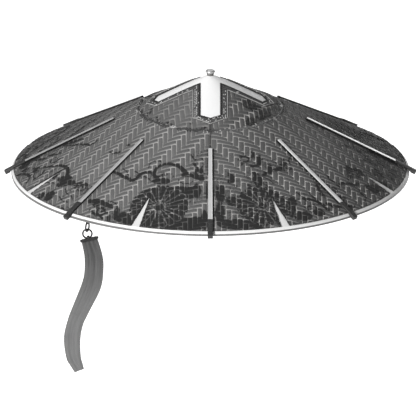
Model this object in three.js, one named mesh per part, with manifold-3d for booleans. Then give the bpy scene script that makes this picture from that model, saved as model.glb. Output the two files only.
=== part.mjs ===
// A wide conical hat in the old Japanese manner: a thin pale shell covered with woven strips,
// a metal cross and knob at the peak, eight metal ribs with dark end caps, and one hanging ribbon.
// Millimetres, +Z up, the front towards -Y and the ribbon on the left (-X) side.
// The origin is on the axis, where the top of a head touches the hat from inside.

import * as THREE from "three";
import { mergeVertices } from "three/addons/utils/BufferGeometryUtils.js";
import Module from "manifold-3d";

const wasm = await Module();
wasm.setup();

// Driving dimensions: the cone

const RIM_RADIUS = 250;
const SLOPE_DEG = 27;
const SHELL_WALL = 2.6;
const EDGE_HEIGHT = 2.6;
const LIP_INNER_RADIUS = 247.2;
const LIP_HEIGHT = 1.2;
const GAP = 0.3;
const TURN_STEPS = 96;
const HEAD_RADIUS = 90;

// Driving dimensions: the layers on the shell, as heights above it along its normal

const WEAVE_TOP = 1.75;
const TRIM_TOP = 1.9;
const CROSS_TOP = 0.9;
const BRIM_INNER_RADIUS = 90.6;
const BRIM_OUTER_RADIUS = 246.9;

// Driving dimensions: the slits in the brim's weave

const NOTCH_COUNT = 8;
const NOTCH_FIRST_DEG = 22.5;
const NOTCH_TIP_RADIUS = 196;
const NOTCH_MOUTH = 11.7;

// Driving dimensions: the cross-shaped opening in the crown's weave and the dark trim round it,
// seen from above; the metal cross is laid in the opening, below the weave's surface

const CROSS_PLAN = { halfWidth: 12.5, shoulder: 65.5, tip: 70.7 };
const TRIM_PLAN = { halfWidth: 22.1, shoulder: 68.9, tip: 80.5 };

// Driving dimensions: the ribs, along the slope from the cone's peak, and above the shell
// as the layers are; the rod's ridge is given in shares of its width

const RIB_COUNT = 8;
const ROD_START = 134.4;
const ROD_END = 258.9;
const ROD_WIDTH_START = 4.9;
const ROD_WIDTH_END = 6.2;
const ROD_TOP = 5.2;
const ROD_SIDE = 1.4;
const ROD_RIDGE = { halfShare: 0.3, drop: 0.4 };
const CAP_END = 288.5;
const CAP_WIDTH = 6.5;
const CAP_TOP_START = 5;
const CAP_TOP_END = 4.3;
const CAP_BOTTOM_END = 0.2;

// Driving dimensions: the knob, as radii and heights above the tip of the cross

const KNOB_STEPS = 32;
const KNOB_NECK_RADIUS = 3.9;
const KNOB_PROFILE = [
  { radius: 4.3, height: 0.9 },
  { radius: 5.2, height: 2.0 },
  { radius: 5.7, height: 2.3 },
  { radius: 5.7, height: 3.4 },
  { radius: 3.9, height: 5.2 },
  { radius: 3.0, height: 5.3 },
];

// Driving dimensions: what hangs from the rim

const HANG_TURN_DEG = -38.7;
const HANG_RADIUS = 247;
const EYE_DROP = 1.3;
const EYE_HOLE_RADIUS = 1.2;
const EYE_OUTER_RADIUS = 2.1;
const EYE_THICKNESS = 1.2;
const EYE_FOOT = { across: 8, along: 5, thick: 0.8, radius: 245.5 };
const WIRE_RADIUS = 0.85;
const UPPER_RING_RADIUS = 5.6;
const UPPER_RING_TURN_DEG = 68;
const LOWER_RING_RADIUS = 5.5;
const CLAMP_TILT_DEG = 13.2;
const CLAMP_BAR_SHIFT = 0.6;
const CLAMP_BAR = { long: 19.4, tall: 3.6, deep: 4 };
const CLAMP_BALL_RADIUS = 1.4;
const CLAMP_BALL_OUT = 10.7;
const CLAMP_BORE_RADIUS = 1.7;
const CLAMP_BORE_HEIGHT = 2.3;
const CLAMP_LUG = { foot: 5.4, top: 3.2, height: 4.6, deep: 5 };

// Driving dimensions: the ribbon, as offsets from the hanging line and drops below the rim

const RIBBON_THICKNESS = 1.4;
const RIBBON_ROWS = 40;
const RIBBON_COLUMNS = 8;
const RIBBON_TOP_HALF_WIDTH = 9;
const RIBBON_FOLD_DEPTH = 1.3;
const RIBBON_FOLD_WAVES = 1.6;
const RIBBON_FOLD_DRIFT = 0.3;
const RIBBON_LOOSE = { from: 0.04, by: 0.2 };
const RIBBON_SWAY = 2.5;
const RIBBON_EDGES = [
  { left: -6.8, leftDrop: 29.0, right: 12.9, rightDrop: 26.0 },
  { left: -2.8, leftDrop: 46.2, right: 18.3, rightDrop: 44.9 },
  { left: -2.8, leftDrop: 66.3, right: 20.4, rightDrop: 62.7 },
  { left: -6.2, leftDrop: 82.1, right: 14.6, rightDrop: 90.5 },
  { left: -17.7, leftDrop: 109.5, right: 0.7, rightDrop: 120.2 },
  { left: -24.5, leftDrop: 129.5, right: -5.6, rightDrop: 136.2 },
  { left: -29.3, leftDrop: 153.2, right: -9.1, rightDrop: 154.7 },
  { left: -26.3, leftDrop: 179.2, right: -8.6, rightDrop: 176.6 },
  { left: -20.6, leftDrop: 191.1, right: -6.2, rightDrop: 187.8 },
  { left: -15.6, leftDrop: 199.7, right: -4.6, rightDrop: 195.0 },
];

// Values that follow from the driving dimensions

const slope = THREE.MathUtils.degToRad(SLOPE_DEG);
const rise = Math.tan(slope);
const innerPeak = RIM_RADIUS * rise;
const shellPeak = innerPeak + SHELL_WALL / Math.cos(slope);
const headDepth = HEAD_RADIUS / Math.cos(slope) - HEAD_RADIUS;
const headHeight = innerPeak - headDepth;
const crownRadius = BRIM_INNER_RADIUS - GAP;

// Height above the rim's lower edge of a point at a radius and a height above the shell
function coneHeight(radius, above) {
  return shellPeak - radius * rise + above / Math.cos(slope);
}

// Colours and finishes

const paleLacquer = new THREE.MeshStandardMaterial({ color: 0xf2f2f0, roughness: 0.45 });
const wovenStrips = new THREE.MeshStandardMaterial({ color: 0x5e5e5e, roughness: 0.7 });
const darkTrim = new THREE.MeshStandardMaterial({ color: 0x2c2c2c, roughness: 0.75 });
const whiteMetal = new THREE.MeshStandardMaterial({ color: 0xf6f6f6, roughness: 0.3, metalness: 0.2 });
const brightSteel = new THREE.MeshStandardMaterial({ color: 0xc6c6c6, roughness: 0.35, metalness: 0.8 });
const blackenedMetal = new THREE.MeshStandardMaterial({ color: 0x262626, roughness: 0.5, metalness: 0.5 });
const darkWire = new THREE.MeshStandardMaterial({ color: 0x3a3a3a, roughness: 0.4, metalness: 0.8 });
const greyRibbon = new THREE.MeshStandardMaterial({ color: 0x707070, roughness: 0.85 });

// Between three.js geometries and the solids that can be cut and joined

function solidOf(geometry) {
  const bare = geometry.clone();
  bare.deleteAttribute("normal");
  bare.deleteAttribute("uv");
  const merged = mergeVertices(bare, 1e-4);
  return new wasm.Manifold(
    new wasm.Mesh({
      numProp: 3,
      vertProperties: merged.getAttribute("position").array,
      triVerts: new Uint32Array(merged.index.array),
    }),
  );
}

function geometryOf(solid) {
  const made = solid.getMesh();
  const geometry = new THREE.BufferGeometry();
  geometry.setAttribute("position", new THREE.BufferAttribute(made.vertProperties, 3));
  geometry.setIndex(new THREE.BufferAttribute(made.triVerts, 1));
  return geometry;
}

// A profile of [radius, height] pairs turned about the Z axis
function turned(profile, steps) {
  const points = profile.map(([radius, height]) => new THREE.Vector2(radius, height));
  return new THREE.LatheGeometry(points, steps).rotateX(Math.PI / 2);
}

// A layer on the cone between two radii, from the gap above the shell up to a height above it
function coneLayer(innerRadius, outerRadius, top) {
  const profile = [
    [innerRadius, coneHeight(innerRadius, GAP)],
    [outerRadius, coneHeight(outerRadius, GAP)],
    [outerRadius, coneHeight(outerRadius, top)],
    [innerRadius, coneHeight(innerRadius, top)],
  ];
  if (innerRadius > 0) profile.push(profile[0]);
  return solidOf(turned(profile, TURN_STEPS));
}

// An upright prism through the whole height of the cone, from its outline seen from above
function uprightPrism(outline) {
  const shape = new THREE.Shape(outline.map(([x, y]) => new THREE.Vector2(x, y)));
  return new THREE.ExtrudeGeometry(shape, { depth: 2 * shellPeak, bevelEnabled: false });
}

// The four-armed outline of the cross or its trim, grown by a margin all round
function crossPrism(plan, margin) {
  const outline = [];
  for (let arm = 0; arm < 4; arm += 1) {
    const turn = (arm * Math.PI) / 2;
    const half = plan.halfWidth + margin;
    const corners = [
      [half, half],
      [half, plan.shoulder + margin],
      [0, plan.tip + margin],
      [-half, plan.shoulder + margin],
    ];
    for (const [x, y] of corners) {
      outline.push([
        x * Math.cos(turn) - y * Math.sin(turn),
        x * Math.sin(turn) + y * Math.cos(turn),
      ]);
    }
  }
  return solidOf(uprightPrism(outline));
}

// The shell and the layers on it

function baseShell() {
  return turned(
    [
      [0, innerPeak],
      [RIM_RADIUS, 0],
      [RIM_RADIUS, EDGE_HEIGHT],
      [LIP_INNER_RADIUS, coneHeight(LIP_INNER_RADIUS, 0) + LIP_HEIGHT],
      [LIP_INNER_RADIUS, coneHeight(LIP_INNER_RADIUS, 0)],
      [0, shellPeak],
    ],
    TURN_STEPS,
  );
}

function brimWeave() {
  let layer = coneLayer(BRIM_INNER_RADIUS, BRIM_OUTER_RADIUS, WEAVE_TOP);
  const reach = RIM_RADIUS;
  const spread = NOTCH_MOUTH / (BRIM_OUTER_RADIUS - NOTCH_TIP_RADIUS);
  const half = (spread * (reach - NOTCH_TIP_RADIUS)) / 2;
  const wedge = [
    [0, -NOTCH_TIP_RADIUS],
    [-half, -reach],
    [half, -reach],
  ];
  for (let i = 0; i < NOTCH_COUNT; i += 1) {
    const turn = NOTCH_FIRST_DEG + (i * 360) / NOTCH_COUNT;
    const cutter = uprightPrism(wedge).rotateZ(THREE.MathUtils.degToRad(turn));
    layer = layer.subtract(solidOf(cutter));
  }
  return geometryOf(layer);
}

function crownWeave() {
  return geometryOf(coneLayer(0, crownRadius, WEAVE_TOP).subtract(crossPrism(TRIM_PLAN, GAP)));
}

function crossTrim() {
  const layer = coneLayer(0, crownRadius, TRIM_TOP);
  return geometryOf(layer.intersect(crossPrism(TRIM_PLAN, 0)).subtract(crossPrism(CROSS_PLAN, 0)));
}

function crownCross() {
  return geometryOf(coneLayer(0, crownRadius, CROSS_TOP).intersect(crossPrism(CROSS_PLAN, -GAP)));
}

function finialKnob() {
  const foot = coneHeight(0, CROSS_TOP + GAP);
  const profile = [
    [0, foot],
    [KNOB_NECK_RADIUS, foot - KNOB_NECK_RADIUS * rise],
    ...KNOB_PROFILE.map(({ radius, height }) => [radius, foot + height]),
    [0, foot + KNOB_PROFILE.at(-1).height],
  ];
  return turned(profile, KNOB_STEPS);
}

// The ribs, in a frame with X down the slope, Y across and Z along the shell's normal

function ribRod() {
  const floor = WEAVE_TOP + GAP;
  const shoulder = floor + ROD_SIDE;
  const section = new THREE.Shape([
    new THREE.Vector2(-0.5, floor),
    new THREE.Vector2(0.5, floor),
    new THREE.Vector2(0.5, shoulder),
    new THREE.Vector2(ROD_RIDGE.halfShare, ROD_TOP - ROD_RIDGE.drop),
    new THREE.Vector2(0, ROD_TOP),
    new THREE.Vector2(-ROD_RIDGE.halfShare, ROD_TOP - ROD_RIDGE.drop),
    new THREE.Vector2(-0.5, shoulder),
  ]);
  const geometry = new THREE.ExtrudeGeometry(section, { depth: ROD_END - ROD_START, bevelEnabled: false });
  const across = new THREE.Vector3(0, 1, 0);
  const normal = new THREE.Vector3(0, 0, 1);
  const along = new THREE.Vector3(1, 0, 0);
  geometry.applyMatrix4(new THREE.Matrix4().makeBasis(across, normal, along));
  geometry.translate(ROD_START, 0, 0);
  const place = geometry.getAttribute("position");
  for (let i = 0; i < place.count; i += 1) {
    const share = (place.getX(i) - ROD_START) / (ROD_END - ROD_START);
    const width = THREE.MathUtils.lerp(ROD_WIDTH_START, ROD_WIDTH_END, share);
    place.setY(i, place.getY(i) * width);
  }
  return geometry;
}

function ribCap() {
  const start = ROD_END + GAP;
  const overWeave = WEAVE_TOP + GAP;
  const overLip = LIP_HEIGHT * Math.cos(slope) + GAP;
  const weaveEnd = BRIM_OUTER_RADIUS / Math.cos(slope) - GAP;
  const rimEnd = RIM_RADIUS / Math.cos(slope) + GAP;
  const outline = new THREE.Shape([
    new THREE.Vector2(start, overWeave),
    new THREE.Vector2(weaveEnd, overWeave),
    new THREE.Vector2(weaveEnd, overLip),
    new THREE.Vector2(rimEnd, CAP_BOTTOM_END),
    new THREE.Vector2(CAP_END, CAP_BOTTOM_END),
    new THREE.Vector2(CAP_END, CAP_TOP_END),
    new THREE.Vector2(start, CAP_TOP_START),
  ]);
  const geometry = new THREE.ExtrudeGeometry(outline, { depth: CAP_WIDTH, bevelEnabled: false });
  const along = new THREE.Vector3(1, 0, 0);
  const normal = new THREE.Vector3(0, 0, 1);
  const across = new THREE.Vector3(0, -1, 0);
  geometry.applyMatrix4(new THREE.Matrix4().makeBasis(along, normal, across));
  return geometry.translate(0, CAP_WIDTH / 2, 0);
}

// The hanging parts, in a frame whose origin is on the hanging line at the rim's lower edge

const eyeCentre = -EYE_DROP;
const upperRingCentre = eyeCentre - UPPER_RING_RADIUS;
const linkStep = 2 * WIRE_RADIUS + GAP;
const lowerRingCentre = upperRingCentre - UPPER_RING_RADIUS + linkStep - LOWER_RING_RADIUS;
const clampTilt = THREE.MathUtils.degToRad(CLAMP_TILT_DEG);
const clampAlong = new THREE.Vector2(Math.cos(clampTilt), Math.sin(clampTilt));
const clampUp = new THREE.Vector2(-Math.sin(clampTilt), Math.cos(clampTilt));
const clampCentre = new THREE.Vector2(0, lowerRingCentre)
  .addScaledVector(clampUp, -LOWER_RING_RADIUS - CLAMP_BORE_HEIGHT)
  .addScaledVector(clampAlong, CLAMP_BAR_SHIFT);

// A plate in the XZ plane, centred on it, from an outline of x and z
function plate(shape, thickness) {
  const geometry = new THREE.ExtrudeGeometry(shape, {
    depth: thickness,
    bevelEnabled: false,
    curveSegments: 12,
  });
  return geometry.rotateX(Math.PI / 2).translate(0, thickness / 2, 0);
}

// The eye under the rim: X along the rim, -Y outwards
function rimEye() {
  const undersideAt = (radius) => (RIM_RADIUS - radius) * rise;
  const footDrop = GAP + EYE_FOOT.thick / 2;
  const plateTop = undersideAt(HANG_RADIUS) - footDrop / Math.cos(slope);
  const shape = new THREE.Shape();
  shape.moveTo(-EYE_OUTER_RADIUS, plateTop);
  shape.absarc(0, eyeCentre, EYE_OUTER_RADIUS, Math.PI, 2 * Math.PI, false);
  shape.lineTo(EYE_OUTER_RADIUS, plateTop);
  shape.closePath();
  const hole = new THREE.CylinderGeometry(EYE_HOLE_RADIUS, EYE_HOLE_RADIUS, 2 * EYE_THICKNESS, 16);
  hole.translate(0, 0, eyeCentre);
  const foot = new THREE.BoxGeometry(EYE_FOOT.across, EYE_FOOT.along, EYE_FOOT.thick);
  foot.rotateX(slope);
  foot.translate(
    0,
    HANG_RADIUS - EYE_FOOT.radius + footDrop * Math.sin(slope),
    undersideAt(EYE_FOOT.radius) - footDrop * Math.cos(slope),
  );
  const lug = solidOf(plate(shape, EYE_THICKNESS)).subtract(solidOf(hole));
  return geometryOf(lug.add(solidOf(foot)));
}

function wireRing(radius) {
  return new THREE.TorusGeometry(radius, WIRE_RADIUS, 10, 28).rotateX(Math.PI / 2);
}

// The clamp, in a frame with X along its bar and Z up from it
function ribbonClamp() {
  const bar = new THREE.BoxGeometry(CLAMP_BAR.long, CLAMP_BAR.deep, CLAMP_BAR.tall);
  const slotWide = RIBBON_THICKNESS + 2 * GAP;
  const slot = new THREE.BoxGeometry(2 * CLAMP_BAR.long, slotWide, CLAMP_BAR.tall);
  slot.translate(0, 0, -CLAMP_BAR.tall / 2 + GAP);
  const lugShape = new THREE.Shape([
    new THREE.Vector2(-CLAMP_LUG.foot / 2, 0),
    new THREE.Vector2(CLAMP_LUG.foot / 2, 0),
    new THREE.Vector2(CLAMP_LUG.top / 2, CLAMP_LUG.height),
    new THREE.Vector2(-CLAMP_LUG.top / 2, CLAMP_LUG.height),
  ]);
  const lug = plate(lugShape, CLAMP_LUG.deep).translate(-CLAMP_BAR_SHIFT, 0, 0);
  const bore = new THREE.CylinderGeometry(CLAMP_BORE_RADIUS, CLAMP_BORE_RADIUS, CLAMP_BAR.long, 20);
  bore.rotateZ(Math.PI / 2).translate(0, 0, CLAMP_BORE_HEIGHT);
  let body = solidOf(bar).subtract(solidOf(slot));
  body = body.add(solidOf(lug)).subtract(solidOf(bore));
  for (const side of [-1, 1]) {
    const ball = new THREE.SphereGeometry(CLAMP_BALL_RADIUS, 14, 10);
    body = body.add(solidOf(ball.translate(side * CLAMP_BALL_OUT, 0, 0)));
  }
  return geometryOf(body);
}

// The ribbon: a thin block whose grid is laid between the two edge curves
function hangingRibbon() {
  const corner = (side) => clampCentre.clone().addScaledVector(clampAlong, side * RIBBON_TOP_HALF_WIDTH);
  const start = [corner(-1), corner(1)];
  const left = [new THREE.Vector3(start[0].x, 0, start[0].y)];
  const right = [new THREE.Vector3(start[1].x, 0, start[1].y)];
  for (const row of RIBBON_EDGES) {
    left.push(new THREE.Vector3(row.left, 0, -row.leftDrop));
    right.push(new THREE.Vector3(row.right, 0, -row.rightDrop));
  }
  const leftEdge = new THREE.CatmullRomCurve3(left);
  const rightEdge = new THREE.CatmullRomCurve3(right);
  const geometry = new THREE.BoxGeometry(1, 1, 1, RIBBON_COLUMNS, 1, RIBBON_ROWS);
  const place = geometry.getAttribute("position");
  for (let i = 0; i < place.count; i += 1) {
    const across = place.getX(i) + 0.5;
    const down = 0.5 - place.getZ(i);
    const spot = leftEdge.getPoint(down).lerp(rightEdge.getPoint(down), across);
    const loose = THREE.MathUtils.smoothstep(down, RIBBON_LOOSE.from, RIBBON_LOOSE.by);
    const fold = Math.cos(2 * Math.PI * (RIBBON_FOLD_WAVES * across + RIBBON_FOLD_DRIFT * down));
    const sway = Math.sin(2 * Math.PI * down);
    const depth = loose * (RIBBON_FOLD_DEPTH * fold + RIBBON_SWAY * sway);
    place.setXYZ(i, spot.x, depth + place.getY(i) * RIBBON_THICKNESS, spot.z);
  }
  return geometry;
}

// The assembly

function piece(name, geometry, material) {
  const mesh = new THREE.Mesh(geometry, material);
  mesh.name = name;
  return mesh;
}

const hat = new THREE.Group();
hat.position.z = -headHeight;
hat.add(
  piece("base_shell", baseShell(), paleLacquer),
  piece("brim_weave", brimWeave(), wovenStrips),
  piece("crown_weave", crownWeave(), wovenStrips),
  piece("cross_trim", crossTrim(), darkTrim),
  piece("crown_cross", crownCross(), whiteMetal),
  piece("finial_knob", finialKnob(), brightSteel),
);

for (let i = 0; i < RIB_COUNT; i += 1) {
  const turn = new THREE.Group();
  turn.rotation.z = (2 * Math.PI * i) / RIB_COUNT - Math.PI / 2;
  const lean = new THREE.Group();
  lean.rotation.y = slope;
  lean.position.z = shellPeak;
  lean.add(
    piece(`rib_rod_${i + 1}`, ribRod(), brightSteel),
    piece(`rib_cap_${i + 1}`, ribCap(), blackenedMetal),
  );
  turn.add(lean);
  hat.add(turn);
}

const hangTurn = THREE.MathUtils.degToRad(HANG_TURN_DEG);
const hanger = new THREE.Group();
hanger.position.set(HANG_RADIUS * Math.sin(hangTurn), -HANG_RADIUS * Math.cos(hangTurn), 0);
hat.add(hanger);

const eye = piece("rim_eye", rimEye(), darkWire);
eye.rotation.z = hangTurn;
const upperRing = piece("upper_ring", wireRing(UPPER_RING_RADIUS), darkWire);
upperRing.rotation.z = THREE.MathUtils.degToRad(UPPER_RING_TURN_DEG);
upperRing.position.z = upperRingCentre;
const lowerRing = piece("lower_ring", wireRing(LOWER_RING_RADIUS), darkWire);
lowerRing.position.z = lowerRingCentre;
const clamp = piece("ribbon_clamp", ribbonClamp(), darkWire);
clamp.rotation.y = -clampTilt;
clamp.position.set(clampCentre.x, 0, clampCentre.y);
hanger.add(eye, upperRing, lowerRing, clamp, piece("ribbon", hangingRibbon(), greyRibbon));

const root = new THREE.Group();
root.add(hat);

export default root;
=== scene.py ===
# %% [markdown]
# # A broad conical hat with a woven brim
#
# The hat is a thin pale shell covered with woven strips, with a metal cross and a knob at
# the peak, eight steel ribs with black caps, and a ribbon that hangs from the rim.
# The CAD model is loaded first and stays as it is. Each visible piece is then made finer in
# its place, and gets its own finish.

import math

import bpy
import numpy as np
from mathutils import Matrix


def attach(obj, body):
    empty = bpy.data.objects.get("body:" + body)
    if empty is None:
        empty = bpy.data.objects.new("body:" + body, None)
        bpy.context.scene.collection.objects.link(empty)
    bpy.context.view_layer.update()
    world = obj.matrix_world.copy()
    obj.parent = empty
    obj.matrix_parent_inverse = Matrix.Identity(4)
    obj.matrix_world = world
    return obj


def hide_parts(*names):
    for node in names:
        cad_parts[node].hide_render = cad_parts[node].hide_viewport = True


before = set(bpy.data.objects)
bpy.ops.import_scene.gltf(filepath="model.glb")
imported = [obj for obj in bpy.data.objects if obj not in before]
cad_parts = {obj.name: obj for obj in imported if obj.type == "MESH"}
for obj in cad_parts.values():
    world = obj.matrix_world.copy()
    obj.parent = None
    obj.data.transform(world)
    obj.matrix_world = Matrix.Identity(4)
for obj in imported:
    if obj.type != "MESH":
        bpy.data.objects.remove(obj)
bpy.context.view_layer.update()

# %% [markdown]
# ## The cone, and its flat pattern
#
# A cone can be unrolled flat without stretching it, which is how a hat maker cuts its
# covering. So the weave and its ornament are drawn on that flat pattern, in millimetres
# from the peak, x to the right and y towards the rim at the front, and then wrapped.
# The wrap keeps every length on the surface, so no strip is stretched.

# %% The cone's measures and the wrap
MM = 0.001
SLOPE = math.radians(27)
RUN, DROP = math.cos(SLOPE), math.sin(SLOPE)
RIM_RADIUS = 250.0
SHELL_WALL = 2.6
INNER_PEAK = RIM_RADIUS * math.tan(SLOPE)
HEAD_RADIUS = 90.0
RIM_HEIGHT = -(INNER_PEAK - (HEAD_RADIUS / RUN - HEAD_RADIUS))
SHELL_PEAK = RIM_HEIGHT + INNER_PEAK + SHELL_WALL / RUN


def cone_height(radius, above):
    """Height of a point at a radius and a height above the shell, both in mm."""
    return SHELL_PEAK - radius * math.tan(SLOPE) + above / RUN


def wrapped(x, y, above):
    """World places, in metres, of points of the flat pattern at heights above the shell."""
    radius = np.hypot(x, y) * RUN
    turn = np.arctan2(x, y) / RUN
    height = cone_height(radius, above)
    return np.stack([radius * np.sin(turn), -radius * np.cos(turn), height], axis=1) * MM


print("rim at", round(RIM_HEIGHT, 2), "mm, shell peak at", round(SHELL_PEAK, 2), "mm")

# %% [markdown]
# ## Small helpers for modelling
#
# An operator works on all that is selected, and the CAD nodes come in selected, so each
# piece starts with nothing selected. Points are read and written as arrays, because a
# wrap moves thousands of them at once.

# %% Modelling helpers
MERGE_REACH = 0.00001


def done():
    bpy.ops.object.mode_set(mode="OBJECT")


def choose(piece=None):
    """Leaves edit mode, and selects one piece or nothing."""
    if bpy.context.object and bpy.context.object.mode != "OBJECT":
        done()
    bpy.ops.object.select_all(action="DESELECT")
    if piece:
        piece.select_set(True)
        bpy.context.view_layer.objects.active = piece


def edit(piece):
    choose(piece)
    bpy.ops.object.mode_set(mode="EDIT")
    bpy.ops.mesh.select_all(action="SELECT")


def points_of(piece):
    places = np.empty(len(piece.data.vertices) * 3)
    piece.data.vertices.foreach_get("co", places)
    return places.reshape(-1, 3)


def selected_points(piece):
    chosen = np.zeros(len(piece.data.vertices), dtype=bool)
    piece.data.vertices.foreach_get("select", chosen)
    return chosen


def move_points(piece, places):
    piece.data.vertices.foreach_set("co", np.asarray(places, dtype=float).ravel())
    piece.data.update()


def new_piece(name, places, faces=(), edges=()):
    mesh = bpy.data.meshes.new(name)
    mesh.from_pydata([tuple(place) for place in places], list(edges), list(faces))
    piece = bpy.data.objects.new(name, mesh)
    bpy.context.scene.collection.objects.link(piece)
    return piece


def named(name):
    piece = bpy.context.object
    piece.name = name
    piece.data.name = name
    return piece


def place_in_mesh(piece):
    choose(piece)
    bpy.ops.object.transform_apply(location=True, rotation=True, scale=True)


def finish_modifier(piece, kind, **settings):
    choose(piece)
    modifier = piece.modifiers.new(kind.title(), kind)
    for key, value in settings.items():
        setattr(modifier, key, value)
    bpy.ops.object.modifier_apply(modifier=modifier.name)


def cut_across(piece, axis, places):
    """Cuts the whole piece at each place along an axis, 0 for X or 1 for Y."""
    normal = [float(i == axis) for i in range(3)]
    for place in places:
        edit(piece)
        bpy.ops.mesh.bisect(plane_co=[place * share for share in normal], plane_no=normal)
        done()


def outward(piece):
    edit(piece)
    bpy.ops.mesh.remove_doubles(threshold=MERGE_REACH)
    bpy.ops.mesh.normals_make_consistent(inside=False)
    done()


def facing_up(piece):
    """Turns a thin layer over where it came out facing down."""
    if sum(face.normal.z * face.area for face in piece.data.polygons) < 0:
        edit(piece)
        bpy.ops.mesh.flip_normals()
        done()


def smooth(piece, degrees):
    choose(piece)
    bpy.ops.object.shade_smooth_by_angle(angle=math.radians(degrees))


def note(piece, name, values):
    """Writes one number for each point, for the piece's finish to read."""
    attribute = piece.data.attributes.new(name, "FLOAT", "POINT")
    attribute.data.foreach_set("value", np.asarray(values, dtype=np.float32))


def belongs(piece, degrees, material, slot, *nodes):
    """Smooths a finished piece, gives it its finish, attaches it, and hides the CAD nodes it replaces."""
    smooth(piece, degrees)
    piece.data.materials.clear()
    piece.data.materials.append(material)
    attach(piece, "root")
    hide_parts(*nodes)
    print(piece.name, "triangles", sum(len(face.vertices) - 2 for face in piece.data.polygons))


def grid_faces(number):
    """Four-sided faces between the numbers of a grid of points."""
    corners = (number[:-1, :-1], number[1:, :-1], number[1:, 1:], number[:-1, 1:])
    return np.stack([corner.ravel() for corner in corners], axis=1)


def turned(x, y, angle):
    """A place turned about the origin."""
    return x * math.cos(angle) - y * math.sin(angle), x * math.sin(angle) + y * math.cos(angle)


def ramp(value, low, high):
    """0 up to low, 1 from high on, and even between."""
    return np.clip((value - low) / (high - low), 0, 1)


# %% [markdown]
# ## Small helpers for finishes
#
# A finish is a network of nodes. Written as sums in Python it stays readable, so each
# socket is wrapped in a small class whose operators add the Math nodes.

# %% Finish helpers


def sum_of(operation, other_first=False):
    def act(wire, other):
        pair = (other, wire) if other_first else (wire, other)
        return wire.math(operation, *pair)

    return act


class Wire:
    """One output of a finish's nodes, on which sums can be written."""

    def __init__(self, finish, socket):
        self.finish = finish
        self.socket = socket

    def math(self, operation, *inputs):
        return self.finish.node("ShaderNodeMath", {"operation": operation}, dict(enumerate(inputs)))

    __add__ = sum_of("ADD")
    __radd__ = sum_of("ADD", True)
    __sub__ = sum_of("SUBTRACT")
    __rsub__ = sum_of("SUBTRACT", True)
    __mul__ = sum_of("MULTIPLY")
    __rmul__ = sum_of("MULTIPLY", True)

    def size(self):
        return self.math("ABSOLUTE", self)

    def wave(self):
        return self.math("SINE", self)

    def step(self, low, high):
        """0 below low, 1 above high, and smooth between."""
        inputs = {"Value": self, "From Min": low, "From Max": high}
        return self.finish.node("ShaderNodeMapRange", {"interpolation_type": "SMOOTHSTEP"}, inputs)


class Finish:
    """A material on one Principled shader, built node by node."""

    def __init__(self, name, **constants):
        self.material = bpy.data.materials.new(name)
        self.material.use_nodes = True
        self.tree = self.material.node_tree
        self.shader = self.tree.nodes["Principled BSDF"]
        for key, value in constants.items():
            self.shader.inputs[key.replace("_", " ")].default_value = value

    def feed(self, socket, value):
        if isinstance(value, Wire):
            self.tree.links.new(value.socket, socket)
        else:
            socket.default_value = value

    def node(self, kind, settings, inputs, output=0):
        made = self.tree.nodes.new(kind)
        for key, value in settings.items():
            setattr(made, key, value)
        for key, value in inputs.items():
            self.feed(made.inputs[key], value)
        return Wire(self, made.outputs[output])

    def place(self, stretch=(1, 1, 1), turn=(0, 0, 0)):
        """The piece's own coordinates in mm, turned and stretched."""
        spot = self.node("ShaderNodeTexCoord", {}, {}, "Object")
        scale = [share / MM for share in stretch]
        return self.node("ShaderNodeMapping", {}, {"Vector": spot, "Rotation": turn, "Scale": scale})

    def noted(self, name):
        return self.node("ShaderNodeAttribute", {"attribute_name": name}, {}, "Fac")

    def joined(self, x, y, z=0.0):
        return self.node("ShaderNodeCombineXYZ", {}, {"X": x, "Y": y, "Z": z})

    def cloud(self, spot, scale, detail=3.0, roughness=0.55):
        inputs = {"Vector": spot, "Scale": scale, "Detail": detail, "Roughness": roughness}
        return self.node("ShaderNodeTexNoise", {}, inputs)

    def blend(self, share, first, second):
        inputs = {0: share, 6: first, 7: second}
        return self.node("ShaderNodeMix", {"data_type": "RGBA"}, inputs, 2)

    def colour(self, value):
        self.feed(self.shader.inputs["Base Color"], value)

    def rough(self, value):
        self.feed(self.shader.inputs["Roughness"], value)

    def relief(self, height, depth_mm, strength=1.0):
        inputs = {"Strength": strength, "Distance": depth_mm * MM, "Height": height}
        self.feed(self.shader.inputs["Normal"], self.node("ShaderNodeBump", {}, inputs))


def grey(level, warmth=0.0):
    """A grey of one linear level, with a touch of warmth where the material has it."""
    return (level * (1 + warmth), level, level * (1 - warmth), 1.0)


# %% [markdown]
# ## Camera, floor and light
#
# The hat is seen from the front, 18.57 degrees above the horizon, and parallel lines stay
# parallel, so the camera is orthographic. The floor lies well below the hat, because
# nothing carries it. A softbox from the front left gives the bright front and the darker
# right side. Panels over and behind the hat, brighter to the right, give the steel rods
# something to reflect, and a weak lamp from behind lifts the back.

# %% The camera
FRAME_WIDTH = 0.52756
CAMERA_DISTANCE = 40.0
CAMERA_RISE = math.radians(18.57)
AIM = (-0.0004, 0.0, -0.1658)
camera_data = bpy.data.cameras.new("camera")
camera_data.type = "ORTHO"
camera_data.ortho_scale = FRAME_WIDTH
camera_data.clip_start = 1
camera_data.clip_end = 200
camera = bpy.data.objects.new("camera", camera_data)
bpy.context.scene.collection.objects.link(camera)
camera.location = (
    AIM[0],
    AIM[1] - CAMERA_DISTANCE * math.cos(CAMERA_RISE),
    AIM[2] + CAMERA_DISTANCE * math.sin(CAMERA_RISE),
)
camera.rotation_euler = (math.pi / 2 - CAMERA_RISE, 0, 0)
bpy.context.scene.camera = camera
bpy.context.scene.view_settings.view_transform = "Standard"
print("frame width", FRAME_WIDTH, "m")

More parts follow.
